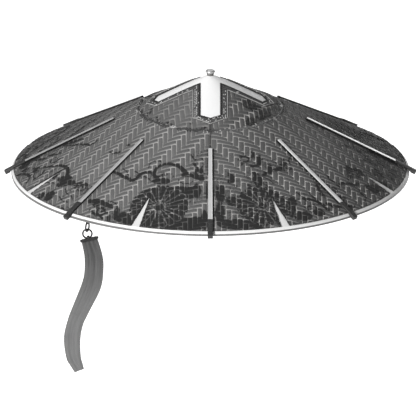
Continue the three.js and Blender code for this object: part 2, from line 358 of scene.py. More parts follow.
# %% The floor
FLOOR_HEIGHT = -0.95
choose()
bpy.ops.mesh.primitive_plane_add(size=120, location=(0, 0, FLOOR_HEIGHT))
floor = named("floor")
floor_paint = Finish("pale floor", Roughness=0.9, Specular_IOR_Level=0.1)
floor_tone = floor_paint.cloud(floor_paint.place(), 0.002)
floor_paint.colour(floor_paint.blend(floor_tone, grey(0.90), grey(0.93)))
floor_paint.shader.inputs["Emission Color"].default_value = (1, 1, 1, 1)
floor_paint.shader.inputs["Emission Strength"].default_value = 0.85
floor.data.materials.append(floor_paint.material)
place_in_mesh(floor)

# %% The lamps
LAMP_AIM = (0, 0, -0.06)


def softbox(name, direction, distance, size, power):
    """A panel of light in a direction from the hat, in metres and watts."""
    lamp = bpy.data.lights.new(name, "AREA")
    lamp.shape = "RECTANGLE"
    lamp.size, lamp.size_y = size
    lamp.energy = power
    holder = bpy.data.objects.new(name, lamp)
    bpy.context.scene.collection.objects.link(holder)
    reach = distance / math.hypot(*direction)
    holder.location = [middle + reach * share for middle, share in zip(LAMP_AIM, direction)]
    x, y, z = direction
    holder.rotation_euler = (math.atan2(math.hypot(x, y), z), 0, math.atan2(x, -y))


softbox("key", (-0.50, -0.75, 0.45), 4.0, (0.9, 0.9), 240)
softbox("overhead", (-0.05, 0.36, 0.93), 3.2, (3.4, 2.2), 11.7)
softbox("overhead right", (0.28, 0.45, 0.85), 3.3, (2.0, 1.8), 7)
softbox("rear left", (-0.28, 0.94, 0.20), 3.0, (1.6, 1.2), 2)
softbox("rear right", (0.28, 0.94, 0.20), 3.0, (1.6, 1.2), 13)
softbox("back", (0.0, 0.8, 0.6), 4.0, (0.8, 0.8), 5)

world = bpy.data.worlds.new("studio")
world.use_nodes = True
bpy.context.scene.world = world
air = world.node_tree.nodes["Background"]
air.inputs["Color"].default_value = (1, 1, 1, 1)
air.inputs["Strength"].default_value = 0.05
print("lamps", [lamp.name for lamp in bpy.data.lights])

# %% [markdown]
# ## The shell
#
# The real shell is pressed and lacquered, one wall with a raised lip at the rim that holds
# the woven layer. It could be a cone with thickness, but a turned profile gives the lip
# and its soft corners at once, so a section is drawn and spun about the axis.

# %% The pale lacquer


def pale_lacquer():
    """Thick off-white lacquer: soft gloss, faint brush waves, a few darker specks, painted shade."""
    paint = Finish("pale lacquer", Coat_Weight=0.15, Coat_Roughness=0.25)
    spot = paint.place()
    waves = paint.cloud(spot, 0.05, 4)
    fine = paint.cloud(spot, 0.9, 3)
    tone = paint.blend(waves, grey(0.64, 0.004), grey(0.70, 0.002))
    specks = fine.step(0.70, 0.78) * 0.25
    tone = paint.blend(specks, tone, grey(0.50, 0.02))
    # Painted shade: a dark tone for the rim's wall and a darker tone for the shell's inside.
    rim_shade_tone = paint.blend(waves, grey(0.065, 0.01), grey(0.095, 0.01))
    inner = paint.blend(waves, grey(0.21, 0.03), grey(0.29, 0.02))
    inner = paint.blend(fine.step(0.5, 0.7) * 0.4, inner, grey(0.14, 0.03))
    tone = paint.blend(paint.noted("inside"), tone, inner)
    paint.colour(paint.blend(paint.noted("rubbed"), tone, rim_shade_tone))
    paint.rough(0.34 + 0.16 * waves)
    paint.relief(waves + 0.3 * fine, 0.12, 0.35)
    return paint.material


LACQUER = pale_lacquer()

# %% The turned shell
SHELL_CORNER = 0.35
LIP_INNER_RADIUS = 247.2
LIP_HEIGHT = 1.2
EDGE_HEIGHT = 2.6
EDGE_DROP = 0.3
SHELL_STEPS = 256


def turned_piece(name, profile, steps, corner=0.0):
    """A section of radii and heights in mm, its corners softened, spun about the axis."""
    places = [(radius * MM, 0, height * MM) for radius, height in profile]
    piece = new_piece(name, places, edges=[(i, i + 1) for i in range(len(places) - 1)])
    edit(piece)
    if corner:
        bpy.ops.mesh.bevel(offset=corner * MM, segments=2, affect="VERTICES")
        bpy.ops.mesh.select_all(action="SELECT")
    bpy.ops.mesh.spin(steps=steps, angle=2 * math.pi, center=(0, 0, 0), axis=(0, 0, 1))
    done()
    outward(piece)
    return piece


WORN_RIM = 0.7
INNER_EDGE = 2.0
lip_foot = cone_height(LIP_INNER_RADIUS, 0)
edge_top = RIM_HEIGHT + EDGE_HEIGHT
lip_fall = (lip_foot + LIP_HEIGHT - edge_top) / (RIM_RADIUS - LIP_INNER_RADIUS)
shell = turned_piece(
    "shell",
    [
        (0, SHELL_PEAK),
        (HEAD_RADIUS, cone_height(HEAD_RADIUS, 0)),
        (LIP_INNER_RADIUS, lip_foot),
        (LIP_INNER_RADIUS, lip_foot + LIP_HEIGHT),
        (RIM_RADIUS - WORN_RIM, edge_top + WORN_RIM * lip_fall),
        (RIM_RADIUS, edge_top),
        (RIM_RADIUS, RIM_HEIGHT - EDGE_DROP),
        (RIM_RADIUS - INNER_EDGE, RIM_HEIGHT + INNER_EDGE * math.tan(SLOPE) - EDGE_DROP),
        (HEAD_RADIUS, RIM_HEIGHT + INNER_PEAK - HEAD_RADIUS * math.tan(SLOPE)),
        (0, RIM_HEIGHT + INNER_PEAK),
    ],
    SHELL_STEPS,
    corner=SHELL_CORNER,
)

# %% [markdown]
# The wall of the rim is painted dark, as shade. On the left this painted shade reaches over
# its upper corner. The inside of the shell is painted darker too, as the shade under the hat.

# %% Painted shade on the rim's wall and on the inside
RIM_SHADE_REACH = 150
WALL_BAND = 0.3
shell_x, shell_y, shell_z = points_of(shell).T / MM
shell_radius = np.hypot(shell_x, shell_y)
on_wall = shell_radius > RIM_RADIUS - WALL_BAND
# Painted shade on the rim's wall, reaching over its upper corner towards the left.
note(shell, "rubbed", on_wall * np.maximum(shell_z < edge_top - 0.1, ramp(-shell_x, 0, RIM_SHADE_REACH)))
under = shell_z < cone_height(shell_radius, -SHELL_WALL / 2)
# The inside is painted darker, as shade.
note(shell, "inside", under & (shell_radius < RIM_RADIUS - INNER_EDGE / 2))
belongs(shell, 30, LACQUER, "pale_lacquer", "base_shell")

# %% [markdown]
# ## The ornament
#
# Dark lacquer ornament is painted over the weave: vines that curl, leaves, and a large
# flower with many petals at each side of the front. These are old common motifs, drawn
# here as strokes, ovals and petals. Each function gives a signed distance in mm, below
# zero where there is paint, so the edge stays crisp however coarse the mesh is. Worn
# patches stay just above zero, and the finish breaks them up into specks.

# %% Motifs as signed distances
LINE_HALF = 0.72
PETAL_TIP = 4.0
EYE_DOTS = 6


def curve_through(points, fineness=8):
    """A smooth line that passes through all the points."""
    path = np.array([points[0], *points, points[-1]], dtype=float)
    shares = np.linspace(0, 1, fineness, endpoint=False)[:, None]
    rows = []
    for before, start, end, after in zip(path[:-3], path[1:-2], path[2:-1], path[3:]):
        bend = 2 * before - 5 * start + 4 * end - after
        turn = 3 * (start - end) + after - before
        rows.append(start + 0.5 * shares * (end - before + shares * (bend + shares * turn)))
    return np.vstack([*rows, path[-1:]])


def vine(x, y, points, start, end):
    """A painted stroke through points, with a half width at each end."""
    path = curve_through(points)
    widths = np.linspace(start, end, len(path))
    nearest = np.full(x.shape, 99.0)
    for i in range(len(path) - 1):
        (ax, ay), (dx, dy) = path[i], path[i + 1] - path[i]
        share = np.clip(((x - ax) * dx + (y - ay) * dy) / max(dx**2 + dy**2, 1e-9), 0, 1)
        width = widths[i] + (widths[i + 1] - widths[i]) * share
        nearest = np.minimum(nearest, np.hypot(x - ax - share * dx, y - ay - share * dy) - width)
    return nearest


def oval(x, y, centre, half, turn=0.0):
    """A leaf or a spot, as an oval turned by degrees."""
    along, across = turned(x - centre[0], y - centre[1], -math.radians(turn))
    return (np.hypot(along / half[0], across / half[1]) - 1) * min(half)


def curl(x, y, centre, radius, turns, width, start):
    """A spiral tendril that winds in to its centre."""
    points = []
    for share in np.linspace(0, 1, 9):
        dx, dy = turned(radius * (1 - 0.8 * share), 0, math.radians(start + 360 * turns * share))
        points.append((centre[0] + dx, centre[1] + dy))
    return vine(x, y, points, width, 0.8 * width)


def flower_lines(x, y, centre, inner, outer, petals):
    """How far each point lies inside the bare lines that part a flower's petals."""
    dx, dy = x - centre[0], y - centre[1]
    reach = np.hypot(dx, dy)
    share = (np.arctan2(dy, dx) / (2 * math.pi) * petals) % 1.0 - 0.5
    half = reach * math.pi / petals
    across = np.abs(share) * 2 * half
    tip = outer - PETAL_TIP * (2 * share) ** 2
    between = np.minimum.reduce([LINE_HALF - half + across, tip - reach, reach - inner])
    ends = LINE_HALF - np.abs(reach - tip)
    eye = LINE_HALF - np.abs(reach - inner + 0.8 * np.cos(2 * math.pi * EYE_DOTS / petals * share))
    return np.maximum.reduce([between, ends, eye])


# %% The painted pattern, left and right of the front seam
LEFT_VINES = [
    ([(-127, 149), (-118, 157), (-110, 166), (-103, 172)], 2.2, 2.8),
    ([(-101, 176), (-94, 173), (-88, 167), (-81, 165), (-74, 168), (-69, 177)], 2.4, 2.6),
    ([(-71, 170), (-68, 161), (-60, 156), (-52, 156), (-43, 159), (-36, 166), (-31, 174)], 2.0, 3.2),
    ([(-33, 178), (-25, 179), (-17, 184), (-9, 188)], 3.6, 2.0),
    ([(-20, 160), (-16, 168), (-19, 176), (-14, 182)], 1.6, 2.4),
    ([(-240, 78), (-222, 88), (-210, 94), (-199, 100), (-190, 110), (-187, 121), (-189, 137)], 2.0, 3.0),
    ([(-181, 151), (-172, 155), (-162, 160), (-157, 166)], 2.0, 1.2),
    ([(-153, 199), (-143, 203), (-134, 211), (-126, 218)], 4.2, 3.4),
    ([(-200, 46), (-186, 55), (-172, 64), (-160, 74)], 1.4, 2.2),
    ([(-131, 107), (-126, 113), (-118, 114)], 1.2, 2.0),
    ([(-262, 78), (-250, 86), (-243, 98), (-246, 112)], 3.0, 1.6),
    ([(-150, 224), (-142, 230), (-137, 238)], 2.2, 1.4),
    ([(-236, 110), (-226, 104), (-222, 96)], 1.6, 1.0),
    ([(-112, 150), (-106, 158), (-104, 166)], 0.8, 0.8),
    ([(-96, 160), (-90, 166), (-92, 174), (-98, 178)], 0.8, 0.7),
    ([(-84, 172), (-78, 178), (-74, 184), (-66, 188)], 0.9, 0.7),
    ([(-78, 158), (-76, 150), (-68, 146), (-62, 150)], 0.7, 1.2),
    ([(-40, 186), (-36, 192), (-28, 194), (-22, 190)], 0.9, 0.8),
    ([(-26, 140), (-22, 148), (-18, 152), (-22, 158)], 0.9, 0.7),
    ([(-10, 150), (-8, 160), (-11, 168), (-8, 176)], 0.8, 0.7),
    ([(-146, 214), (-138, 218), (-134, 226), (-138, 232)], 0.9, 0.8),
    ([(-130, 206), (-122, 212), (-118, 220), (-122, 228)], 1.0, 0.8),
    ([(-154, 216), (-148, 224), (-146, 234)], 1.1, 0.8),
    ([(-176, 158), (-168, 160), (-160, 166), (-158, 174), (-164, 180)], 0.9, 0.8),
    ([(-188, 160), (-186, 170), (-180, 178), (-178, 188)], 1.0, 0.8),
    ([(-196, 172), (-192, 182), (-184, 190)], 1.0, 0.8),
    ([(-206, 104), (-214, 108), (-216, 116)], 0.9, 0.7),
    ([(-232, 90), (-238, 98), (-236, 106)], 1.2, 0.8),
    ([(-218, 130), (-210, 134), (-204, 140)], 1.0, 0.8),
]
LEFT_OVALS = [
    ((-62, 185), (12.5, 5.6), 10),
    ((-67, 177), (3.0, 2.2), 0),
    ((-189, 146), (9.0, 7.5), 0),
    ((-181, 150), (6.5, 5.0), 40),
    ((-196, 145), (6.0, 5.0), -30),
    ((-210, 164), (7.0, 10.0), 20),
    ((-222, 158), (5.0, 7.0), 20),
    ((-205, 123), (3.2, 5.5), 20),
    ((-155, 71), (5.0, 3.0), -35),
    ((-252, 72), (5.0, 7.0), 0),
    ((-129, 239), (2.6, 7.5), 0),
    ((-121, 236), (3.0, 9.0), 0),
    ((-117, 229), (2.2, 8.0), 0),
    ((-110, 241), (8.5, 8.5), 0),
    ((-106, 104), (3.0, 1.8), 30),
    ((-146, 209), (5.0, 3.4), 30),
    ((-236, 88), (4.0, 7.0), -30),
    ((-213, 60), (12.0, 3.0), 20),
    ((-26, 210), (8.0, 11.0), 0),
    ((-17, 207), (5.5, 13.0), 0),
    ((-40, 203), (13.0, 5.5), 0),
    ((-24, 264), (24.0, 12.0), 0),
    ((-7, 258), (5.0, 17.0), 0),
    ((-48, 266), (16.0, 8.0), -15),
    ((-12, 172), (3.5, 4.0), 0),
    ((-12, 184), (4.5, 5.0), 0),
    ((-4, 210), (1.6, 20.0), 0),
    ((-104, 250), (10.0, 6.0), 20),
    ((-112, 246), (9.0, 4.5), 20),
    ((-190, 43), (20.0, 3.6), 12),
    ((-222, 36), (16.0, 4.6), 10),
    ((-246, 46), (12.0, 6.0), 20),
    ((-256, 54), (8.0, 11.0), 0),
    ((-190, 136), (12.0, 6.5), 25),
    ((-170, 160), (6.0, 2.0), 20),
    ((-232, 58), (10.0, 3.0), 25),
]
LEFT_CURLS = [
    ((-167, 167), 9.5, 1.5, 1.3, 200),
    ((-57, 174), 5.0, 1.1, 1.0, 90),
    ((-138, 222), 9.0, 1.3, 1.3, 40),
    ((-196, 205), 9.0, 1.3, 1.2, 250),
    ((-210, 76), 9.0, 1.2, 1.1, 20),
]
RIGHT_VINES = [
    ([(62, 139), (65, 148), (61, 157), (52, 160)], 1.8, 2.4),
    ([(38, 146), (43, 143), (48, 146), (47, 152), (41, 154)], 1.4, 1.2),
    ([(97, 143), (90, 149), (92, 156), (84, 161), (76, 163), (68, 172)], 1.6, 2.6),
    ([(56, 172), (62, 180), (64, 190), (60, 199)], 3.2, 4.0),
    ([(196, 112), (186, 116), (180, 124), (184, 133)], 2.8, 2.2),
    ([(165, 163), (173, 155), (184, 152), (193, 147)], 2.2, 3.6),
    ([(236, 128), (224, 133), (214, 141), (204, 146)], 4.2, 3.0),
    ([(146, 193), (140, 184), (137, 173)], 2.6, 1.8),
    ([(118, 206), (130, 204), (141, 208), (150, 216)], 2.2, 3.2),
    ([(258, 70), (247, 78), (242, 92), (246, 108)], 4.0, 3.0),
    ([(205, 58), (215, 66), (212, 78), (203, 84)], 4.0, 2.6),
    ([(222, 96), (230, 104), (226, 114)], 3.0, 2.0),
    ([(181, 112), (180, 122), (182, 134), (180, 142)], 2.6, 2.2),
    ([(24, 176), (25, 183), (24, 191)], 2.2, 2.6),
    ([(52, 132), (54, 138), (52, 144)], 2.0, 1.6),
    ([(60, 142), (62, 150), (58, 156)], 2.4, 1.8),
    ([(92, 138), (95, 146), (90, 154), (84, 157)], 2.2, 1.4),
    ([(58, 174), (56, 184), (60, 194), (66, 200)], 2.6, 2.2),
    ([(66, 176), (74, 180), (80, 186)], 1.0, 0.8),
    ([(70, 190), (76, 196), (78, 204)], 1.2, 1.0),
    ([(36, 150), (40, 156), (38, 162)], 1.0, 0.8),
    ([(104, 128), (100, 136), (102, 144)], 1.4, 1.0),
    ([(108, 196), (116, 200), (122, 208), (120, 216)], 1.2, 1.0),
    ([(126, 190), (130, 198), (136, 202)], 1.2, 0.9),
    ([(152, 150), (156, 156), (162, 158)], 2.0, 1.4),
    ([(150, 205), (158, 208), (166, 206)], 3.0, 2.2),
    ([(170, 196), (178, 200), (186, 198)], 2.6, 1.8),
    ([(196, 166), (202, 172), (200, 180)], 1.4, 1.0),
]
RIGHT_OVALS = [
    ((75, 161), (4.0, 9.0), 0),
    ((27, 184), (3.0, 8.0), 0),
    ((49, 206), (5.0, 13.0), 0),
    ((27, 225), (7.5, 8.5), 0),
    ((13, 212), (6.5, 16.0), 0),
    ((12, 247), (6.0, 20.0), 0),
    ((42, 240), (7.0, 13.0), 0),
    ((30, 265), (22.0, 9.5), 0),
    ((54, 264), (20.0, 9.0), -12),
    ((92, 238), (5.0, 24.0), 15),
    ((103, 226), (5.0, 18.0), 0),
    ((92, 215), (4.5, 10.0), 0),
    ((93, 230), (8.0, 12.0), -25),
    ((118, 238), (12.0, 9.0), -25),
    ((104, 215), (6.0, 9.0), 0),
    ((139, 226), (8.0, 7.0), -30),
    ((224, 104), (11.0, 8.0), 60),
    ((235, 68), (9.0, 12.0), 0),
    ((210, 146), (6.0, 7.0), 0),
    ((168, 189), (8.0, 5.0), -45),
    ((216, 150), (5.0, 7.0), 30),
    ((226, 48), (12.0, 9.0), -20),
    ((196, 56), (20.0, 5.0), -15),
    ((246, 50), (12.0, 9.0), 0),
    ((218, 76), (10.0, 8.0), 20),
    ((248, 84), (7.0, 14.0), 0),
    ((228, 128), (7.0, 12.0), 30),
    ((198, 118), (9.0, 5.0), 20),
    ((224, 142), (8.0, 5.0), 0),
]
RIGHT_CURLS = [
    ((190, 128), 8.0, 1.3, 1.4, 180),
    ((96, 152), 7.0, 1.3, 1.2, 0),
    ((160, 175), 7.0, 1.2, 1.2, 90),
    ((128, 220), 8.0, 1.2, 1.3, 300),
]
LEFT_FLOWER = {"centre": (-65, 231), "inner": 7.5, "outer": 38.0, "petals": 20}
RIGHT_FLOWER = {"centre": (66, 229), "inner": 7.0, "outer": 34.0, "petals": 18}
LEFT_WORN = [
    ((-246, 66), (24, 38), 10),
    ((-214, 48), (40, 12), 15),
    ((-180, 62), (26, 9), 35),
    ((-226, 98), (22, 11), 30),
    ((-212, 160), (16, 24), 20),
    ((-172, 172), (24, 17), 0),
    ((-192, 205), (16, 12), 0),
    ((-140, 214), (20, 14), 25),
    ((-118, 238), (22, 16), 20),
    ((-86, 172), (26, 9), 0),
    ((-60, 180), (20, 12), 0),
    ((-14, 160), (14, 30), 0),
    ((-40, 214), (40, 22), 0),
]
RIGHT_WORN = [
    ((238, 76), (26, 42), 0),
    ((224, 116), (24, 18), 0),
    ((190, 126), (18, 16), 0),
    ((178, 160), (28, 12), 0),
    ((215, 150), (16, 16), 0),
    ((175, 205), (30, 14), -45),
    ((48, 148), (18, 14), 0),
    ((86, 154), (24, 15), 0),
    ((62, 184), (22, 22), 0),
    ((22, 200), (18, 34), 0),
    ((118, 216), (32, 24), -25),
    ((146, 176), (16, 20), 0),
    ((60, 250), (60, 26), 0),
]
NO_PAINT = 9.0
PAINT_REACH = 6
WORN_SLOPE, WORN_START, WORN_EDGE = 0.15, 0.75, 0.3
RIGHT_PAINT_LIMIT = -0.5
FOLD_BACK = 160.4


def painted(x, y, vines, ovals, curls=(), worn=(), flower=None):
    """Signed distance to the nearest paint. Worn patches stay above zero, as specks."""
    paint = np.full(x.shape, NO_PAINT)
    if flower:
        paint = oval(x, y, flower["centre"], (flower["outer"], flower["outer"]))
    for patch in worn:
        faded = WORN_SLOPE * oval(x, y, *patch) + WORN_START
        paint = np.minimum(paint, np.maximum(faded, WORN_EDGE))
    for motif, rows in ((vine, vines), (oval, ovals), (curl, curls)):
        for row in rows:
            paint = np.minimum(paint, motif(x, y, *row))
    return np.maximum(paint, flower_lines(x, y, **flower)) if flower else paint


def folded(x, y):
    """The place on the front whose paint is repeated here: the back mirrors the front."""
    reach, angle, limit = np.hypot(x, y), np.arctan2(np.abs(x), y), math.radians(FOLD_BACK)
    angle = np.where(angle > limit / 2, limit - angle, angle)
    return np.sign(x) * reach * np.sin(angle), reach * np.cos(angle)


def brim_paint(x, y):
    x, y = folded(x, y)
    left = painted(x, y, LEFT_VINES, LEFT_OVALS, LEFT_CURLS, LEFT_WORN, LEFT_FLOWER)
    right = painted(x, y, RIGHT_VINES, RIGHT_OVALS, RIGHT_CURLS, RIGHT_WORN, RIGHT_FLOWER)
    return np.where(x < 0, left, np.maximum(right, RIGHT_PAINT_LIMIT)).clip(-PAINT_REACH, PAINT_REACH)


CROWN_PAINT_LIMIT = -0.2
CROWN_OVALS = [
    ((58, 47), (19.0, 9.0), 10),
    ((49, 40), (8.0, 7.0), 0),
    ((66, 62), (5.0, 9.0), 10),
    ((52, 78), (7.0, 9.0), 30),
    ((90, 20), (7.0, 12.0), 0),
    ((-95, 35), (4.0, 9.0), -10),
    ((-68, 66), (5.0, 3.0), 60),
    ((-52, 82), (6.0, 2.0), 40),
    ((-24, 87), (2.0, 1.6), 0),
    ((-30, 98), (7.0, 2.0), 10),
    ((-8, 96), (2.4, 4.0), 40),
    ((-80, 45), (3.0, 8.0), 20),
]
CROWN_VINES = [
    ([(60, 66), (56, 74), (58, 84), (50, 92)], 2.4, 1.4),
    ([(84, 34), (76, 42), (78, 52), (72, 60)], 2.4, 2.0),
    ([(-98, 52), (-88, 58), (-82, 68), (-72, 76)], 1.4, 1.8),
    ([(-74, 70), (-68, 80), (-56, 88), (-42, 95)], 1.6, 1.2),
]


def crown_paint(x, y):
    return painted(*folded(x, y), CROWN_VINES, CROWN_OVALS).clip(CROWN_PAINT_LIMIT, PAINT_REACH)


print("painted strokes", len(LEFT_VINES) + len(RIGHT_VINES) + len(CROWN_VINES))

# %% [markdown]
# ## The backing of the weave
#
# Lighter splints lie under the dark strips and show as fine light lines between them.
# They could be single splints too, but only slits of them show, so one thin layer stands
# for them. It is a flat ring of the pattern with eight slits cut into its outer edge,
# wrapped on the cone and given its thickness.

# %% The brim's outline and its slits
BRIM_INNER = 90.6 / RUN
BRIM_OUTER = 246.9 / RUN
SLIT_FIRST = math.radians(22.5)
SLIT_TIP = 196.0
SLIT_SPREAD = 11.7 / (246.9 - SLIT_TIP)
SLIT_LEAST = 0.05
BACKING_TOP = 0.95
BACKING_THICK = 0.6


def to_plan(x, y):
    """The radius and the turn, seen from above, of a place on the flat pattern."""
    return np.hypot(x, y) * RUN, np.arctan2(x, y) / RUN


def from_plan(radius, turn):
    return radius / RUN * np.sin(turn * RUN), radius / RUN * np.cos(turn * RUN)


def nearest_of_eight(turn, first=0.0):
    """The nearest of eight even directions, for the slits and for the ribs."""
    pitch = math.pi / 4
    return np.round((turn - first) / pitch) * pitch + first


def nearest_slit(x, y):
    """The direction of the nearest slit, the place along and across it, and its half width."""
    radius, turn = to_plan(x, y)
    middle = nearest_of_eight(turn, SLIT_FIRST)
    along, across = radius * np.cos(turn - middle), radius * np.sin(turn - middle)
    return middle, along, across, SLIT_SPREAD / 2 * (along - SLIT_TIP)


def cut_slits(x, y, pull=0.0):
    """Moves points out of the slits to their edges, and says which side each point is on."""
    nearest, along, across, half = nearest_slit(x, y)
    inside = (along > SLIT_TIP) & (np.abs(across) < half + pull)
    side = np.where(across < 0, -1, 1)
    across = np.where(inside, side * np.maximum(half, SLIT_LEAST), across)
    moved_x, moved_y = from_plan(np.hypot(along, across), nearest + np.arctan2(across, along))
    return np.where(inside, moved_x, x), np.where(inside, moved_y, y), inside * side


def keeps(faces, outside, slit_side):
    """Which faces stay: not wholly outside, and not bridging a slit."""
    gone = outside[faces].all(axis=1)
    sides = slit_side[faces]
    bridging = (sides.max(axis=1) > 0) & (sides.min(axis=1) < 0)
    return faces[~(gone | bridging)]


def ring_grid(inner, outer, rings, columns):
    """A flat ring of the pattern as points and four-sided faces, open at the back."""
    turns = (np.arange(columns + 1) + 0.5) / columns * 2 * math.pi - math.pi
    reach, turn = np.meshgrid(np.linspace(inner, outer, rings + 1), turns)
    x, y = reach * np.sin(turn * RUN), reach * np.cos(turn * RUN)
    return x.ravel(), y.ravel(), grid_faces(np.arange(reach.size).reshape(reach.shape))


# %% [markdown]
# Where the weave ends at the lip and at the slits, its cut edge and walls get painted shade,
# standing for the shadow of those walls. The front seam is a dark joint. Each point gets a
# share of that dark.

# %% Painted shade at cut edges, and the dark front seam
LIP_DARK, LIP_STRENGTH = 1.4, 0.65
SLIT_DARK, SLIT_STRENGTH = 1.7, 0.9
SEAM_DARK, SEAM_STRENGTH = 2.4, 0.7
TIP_FADE = 6


# Painted shade along the lip and the slits, for the weave's shaded walls; a dark line at the front seam.
def edge_shade_and_seam(x, y):
    from_lip = BRIM_OUTER * RUN - 0.5 - np.hypot(x, y) * RUN
    lip = LIP_STRENGTH * (1 - ramp(from_lip, 0, LIP_DARK))
    along, across, half = nearest_slit(x, y)[1:]
    from_slit = (np.abs(across) - np.maximum(half, 0)) / SLIT_DARK
    from_tip = ramp(along, SLIT_TIP - TIP_FADE, SLIT_TIP)
    slit = SLIT_STRENGTH * (1 - ramp(from_slit, 0.1, 1.1)) * from_tip
    seam = SEAM_STRENGTH * (1 - ramp(np.abs(x) / SEAM_DARK, 0.2, 1.2)) * (y > 0)
    return np.maximum.reduce([lip, slit, seam])


# %% The brim's backing
BACKING_RINGS = 66
BACKING_COLUMNS = 416
SLIT_PULL = 2.2
BRIM_PALE_REACH, CROWN_PALE_REACH = 160, 90


def splints(name, tone):
    """Pale split cane: fine fibres, a wash of the paint, paler to the right, and painted shade at cut
    edges.
    """
    cane = Finish(name, Specular_IOR_Level=0.2)
    spot = cane.place()
    fibres = cane.cloud(cane.place((1, 1, 0.2)), 1.4, 4, 0.7)
    patches = cane.cloud(spot, 0.03, 3)
    paint = 1 - cane.noted("paint").step(-0.7, 0.4)
    base = cane.blend(fibres, grey(tone * 0.80, 0.02), grey(tone * 1.15, 0.02))
    base = cane.blend(patches.step(0.3, 0.7) * 0.25, base, grey(tone * 0.7, 0.01))
    base = cane.blend(cane.noted("pale"), base, grey(0.62, 0.02))
    base = cane.blend(paint * 0.86, base, grey(0.04))
    # The shade note darkens the splints as painted shade at cut edges, and along the front seam.
    cane.colour(cane.blend(cane.noted("shade"), base, grey(0.025)))
    cane.rough(0.55 + 0.2 * fibres)
    cane.relief(fibres, 0.15, 0.5)
    return cane.material


SPLINTS = splints("pale splints", 0.33)
CROWN_SPLINTS = splints("crown splints", 0.22)


def backing_layer(name, x, y, faces, paint, pale_reach):
    """One thin layer, growing paler over pale_reach mm to the right of the middle."""
    used, numbers = np.unique(faces, return_inverse=True)
    x, y = x[used], y[used]
    places = wrapped(x, y, np.full(x.shape, BACKING_TOP))
    piece = new_piece(name, places, numbers.reshape(faces.shape).tolist())
    note(piece, "paint", paint(x, y))
    note(piece, "shade", edge_shade_and_seam(x, y))
    note(piece, "pale", ramp(places[:, 0] / MM, 0, pale_reach))
    outward(piece)
    facing_up(piece)
    finish_modifier(piece, "SOLIDIFY", thickness=BACKING_THICK * MM, offset=-1)
    return piece


ring_x, ring_y, ring_faces = ring_grid(BRIM_INNER, BRIM_OUTER, BACKING_RINGS, BACKING_COLUMNS)
ring_x, ring_y, ring_side = cut_slits(ring_x, ring_y, SLIT_PULL)
ring_faces = keeps(ring_faces, np.zeros(ring_x.shape, dtype=bool), ring_side)
brim_backing = backing_layer("brim_backing", ring_x, ring_y, ring_faces, brim_paint, BRIM_PALE_REACH)
belongs(brim_backing, 40, SPLINTS, "woven_strips", "brim_weave")

# %% [markdown]
# ## The woven strips
#
# The covering is a twill: each upright strip passes over two or three level ones, and each
# row starts one strip further on, so the pattern climbs in steps. At the front two such
# sheets meet in a seam, the right one climbing the other way. Weaving every strip from
# edge to edge would give hidden crossings, so only the stretches that lie on top are
# made: one crowned stretch with dipping ends is modelled and copied over the sheet.

# %% One stretch of strip
STRIP_TOP = 1.85
CROWNING = 0.26
END_DIP = 0.5
ACROSS_CUTS = 5
ALONG_CUTS = 13


def one_stretch(name):
    """A stretch one unit wide and long: shares of its width and length, and its height."""
    choose()
    bpy.ops.mesh.primitive_grid_add(x_subdivisions=ACROSS_CUTS, y_subdivisions=ALONG_CUTS, size=1)
    stretch = named(name)
    places = points_of(stretch)
    crown = CROWNING * (2 * places[:, 0]) ** 2
    dip = END_DIP * np.abs(2 * places[:, 1]) ** 7
    places[:, 2] = STRIP_TOP - crown - dip
    faces = np.array([face.vertices[:] for face in stretch.data.polygons])
    bpy.data.objects.remove(stretch)
    return places, faces


STRETCH, STRETCH_FACES = one_stretch("stretch")
print("one stretch has", len(STRETCH_FACES), "faces")

# %% The sheets and how their strips lie
SPARE_ROWS, SPARE_COLUMNS = 21, 90
LEFT_SHEET = {
    "start": (-54.4, 131.5),
    "step": (6.16, -7.95),
    "repeat": (-29.75, -1.02),
    "light_edges": 1.0,
    "upright": {"place": (-0.3, -1.4), "width": 5.1, "length": 20.0, "slant": 0.0},
    "level": {"place": (-0.5, 19.2), "width": 5.5, "length": 16.5, "slant": -0.22},
}
RIGHT_SHEET = {
    "start": (16.3, 131.5),
    "step": (-7.21, -7.49),
    "repeat": (34.61, 1.21),
    "light_edges": 0.9,
    "upright": {"place": (-0.3, -0.2), "width": 5.9, "length": 16.3, "slant": 0.0},
    "level": {"place": (6.6, 0.2), "width": 5.4, "length": 19.8, "slant": 0.21},
}
CROWN_SHEET = {
    "start": (28.7, 50.5),
    "step": (6.25, -7.25),
    "repeat": (-33.75, 5.0),
    "light_edges": 0.4,
    "upright": {"place": (-0.2, -0.2), "width": 5.3, "length": 17.8, "slant": 0.08},
    "level": {"place": (0.8, 18.3), "width": 5.3, "length": 13.2, "slant": -0.16},
}


def starts(sheet, reach):
    """Where each repeat of the weave starts, over a square of the pattern."""
    rows = int(reach / abs(sheet["step"][1])) + SPARE_ROWS
    columns = np.arange(-SPARE_COLUMNS, SPARE_COLUMNS + 1)
    row, column = np.meshgrid(np.arange(-rows, rows + 1), columns, indexing="ij")
    spots = sheet["start"] + row.reshape(-1, 1) * sheet["step"]
    spots = spots + column.reshape(-1, 1) * sheet["repeat"]
    return spots[(np.abs(spots) < reach).all(axis=1)]


def laid(sheet, kind, reach):
    """All stretches of one kind, flat: their points and faces, and what each point notes."""
    form = sheet[kind]
    spots = starts(sheet, reach) + form["place"]
    count = len(spots)
    along = (STRETCH[:, 1] + 0.5) * form["length"]
    across = (STRETCH[:, 0] + 0.5) * form["width"] + form["slant"] * along
    x, y = (across, along) if kind == "upright" else (along, across)
    heights = np.tile(STRETCH[:, 2], count)
    points = np.column_stack([(spots[:, :1] + x).ravel(), (spots[:, 1:] + y).ravel(), heights])
    faces = STRETCH_FACES[None] + np.arange(count)[:, None, None] * len(STRETCH)
    facts = {
        "across": np.tile(2 * STRETCH[:, 0], count),
        "along": np.tile(along, count),
        "mark": np.repeat(np.random.default_rng(7).random(count), len(STRETCH)),
        "level": np.full(len(points), 0.0 if kind == "upright" else sheet["light_edges"]),
    }
    return points, faces.reshape(-1, 4), facts


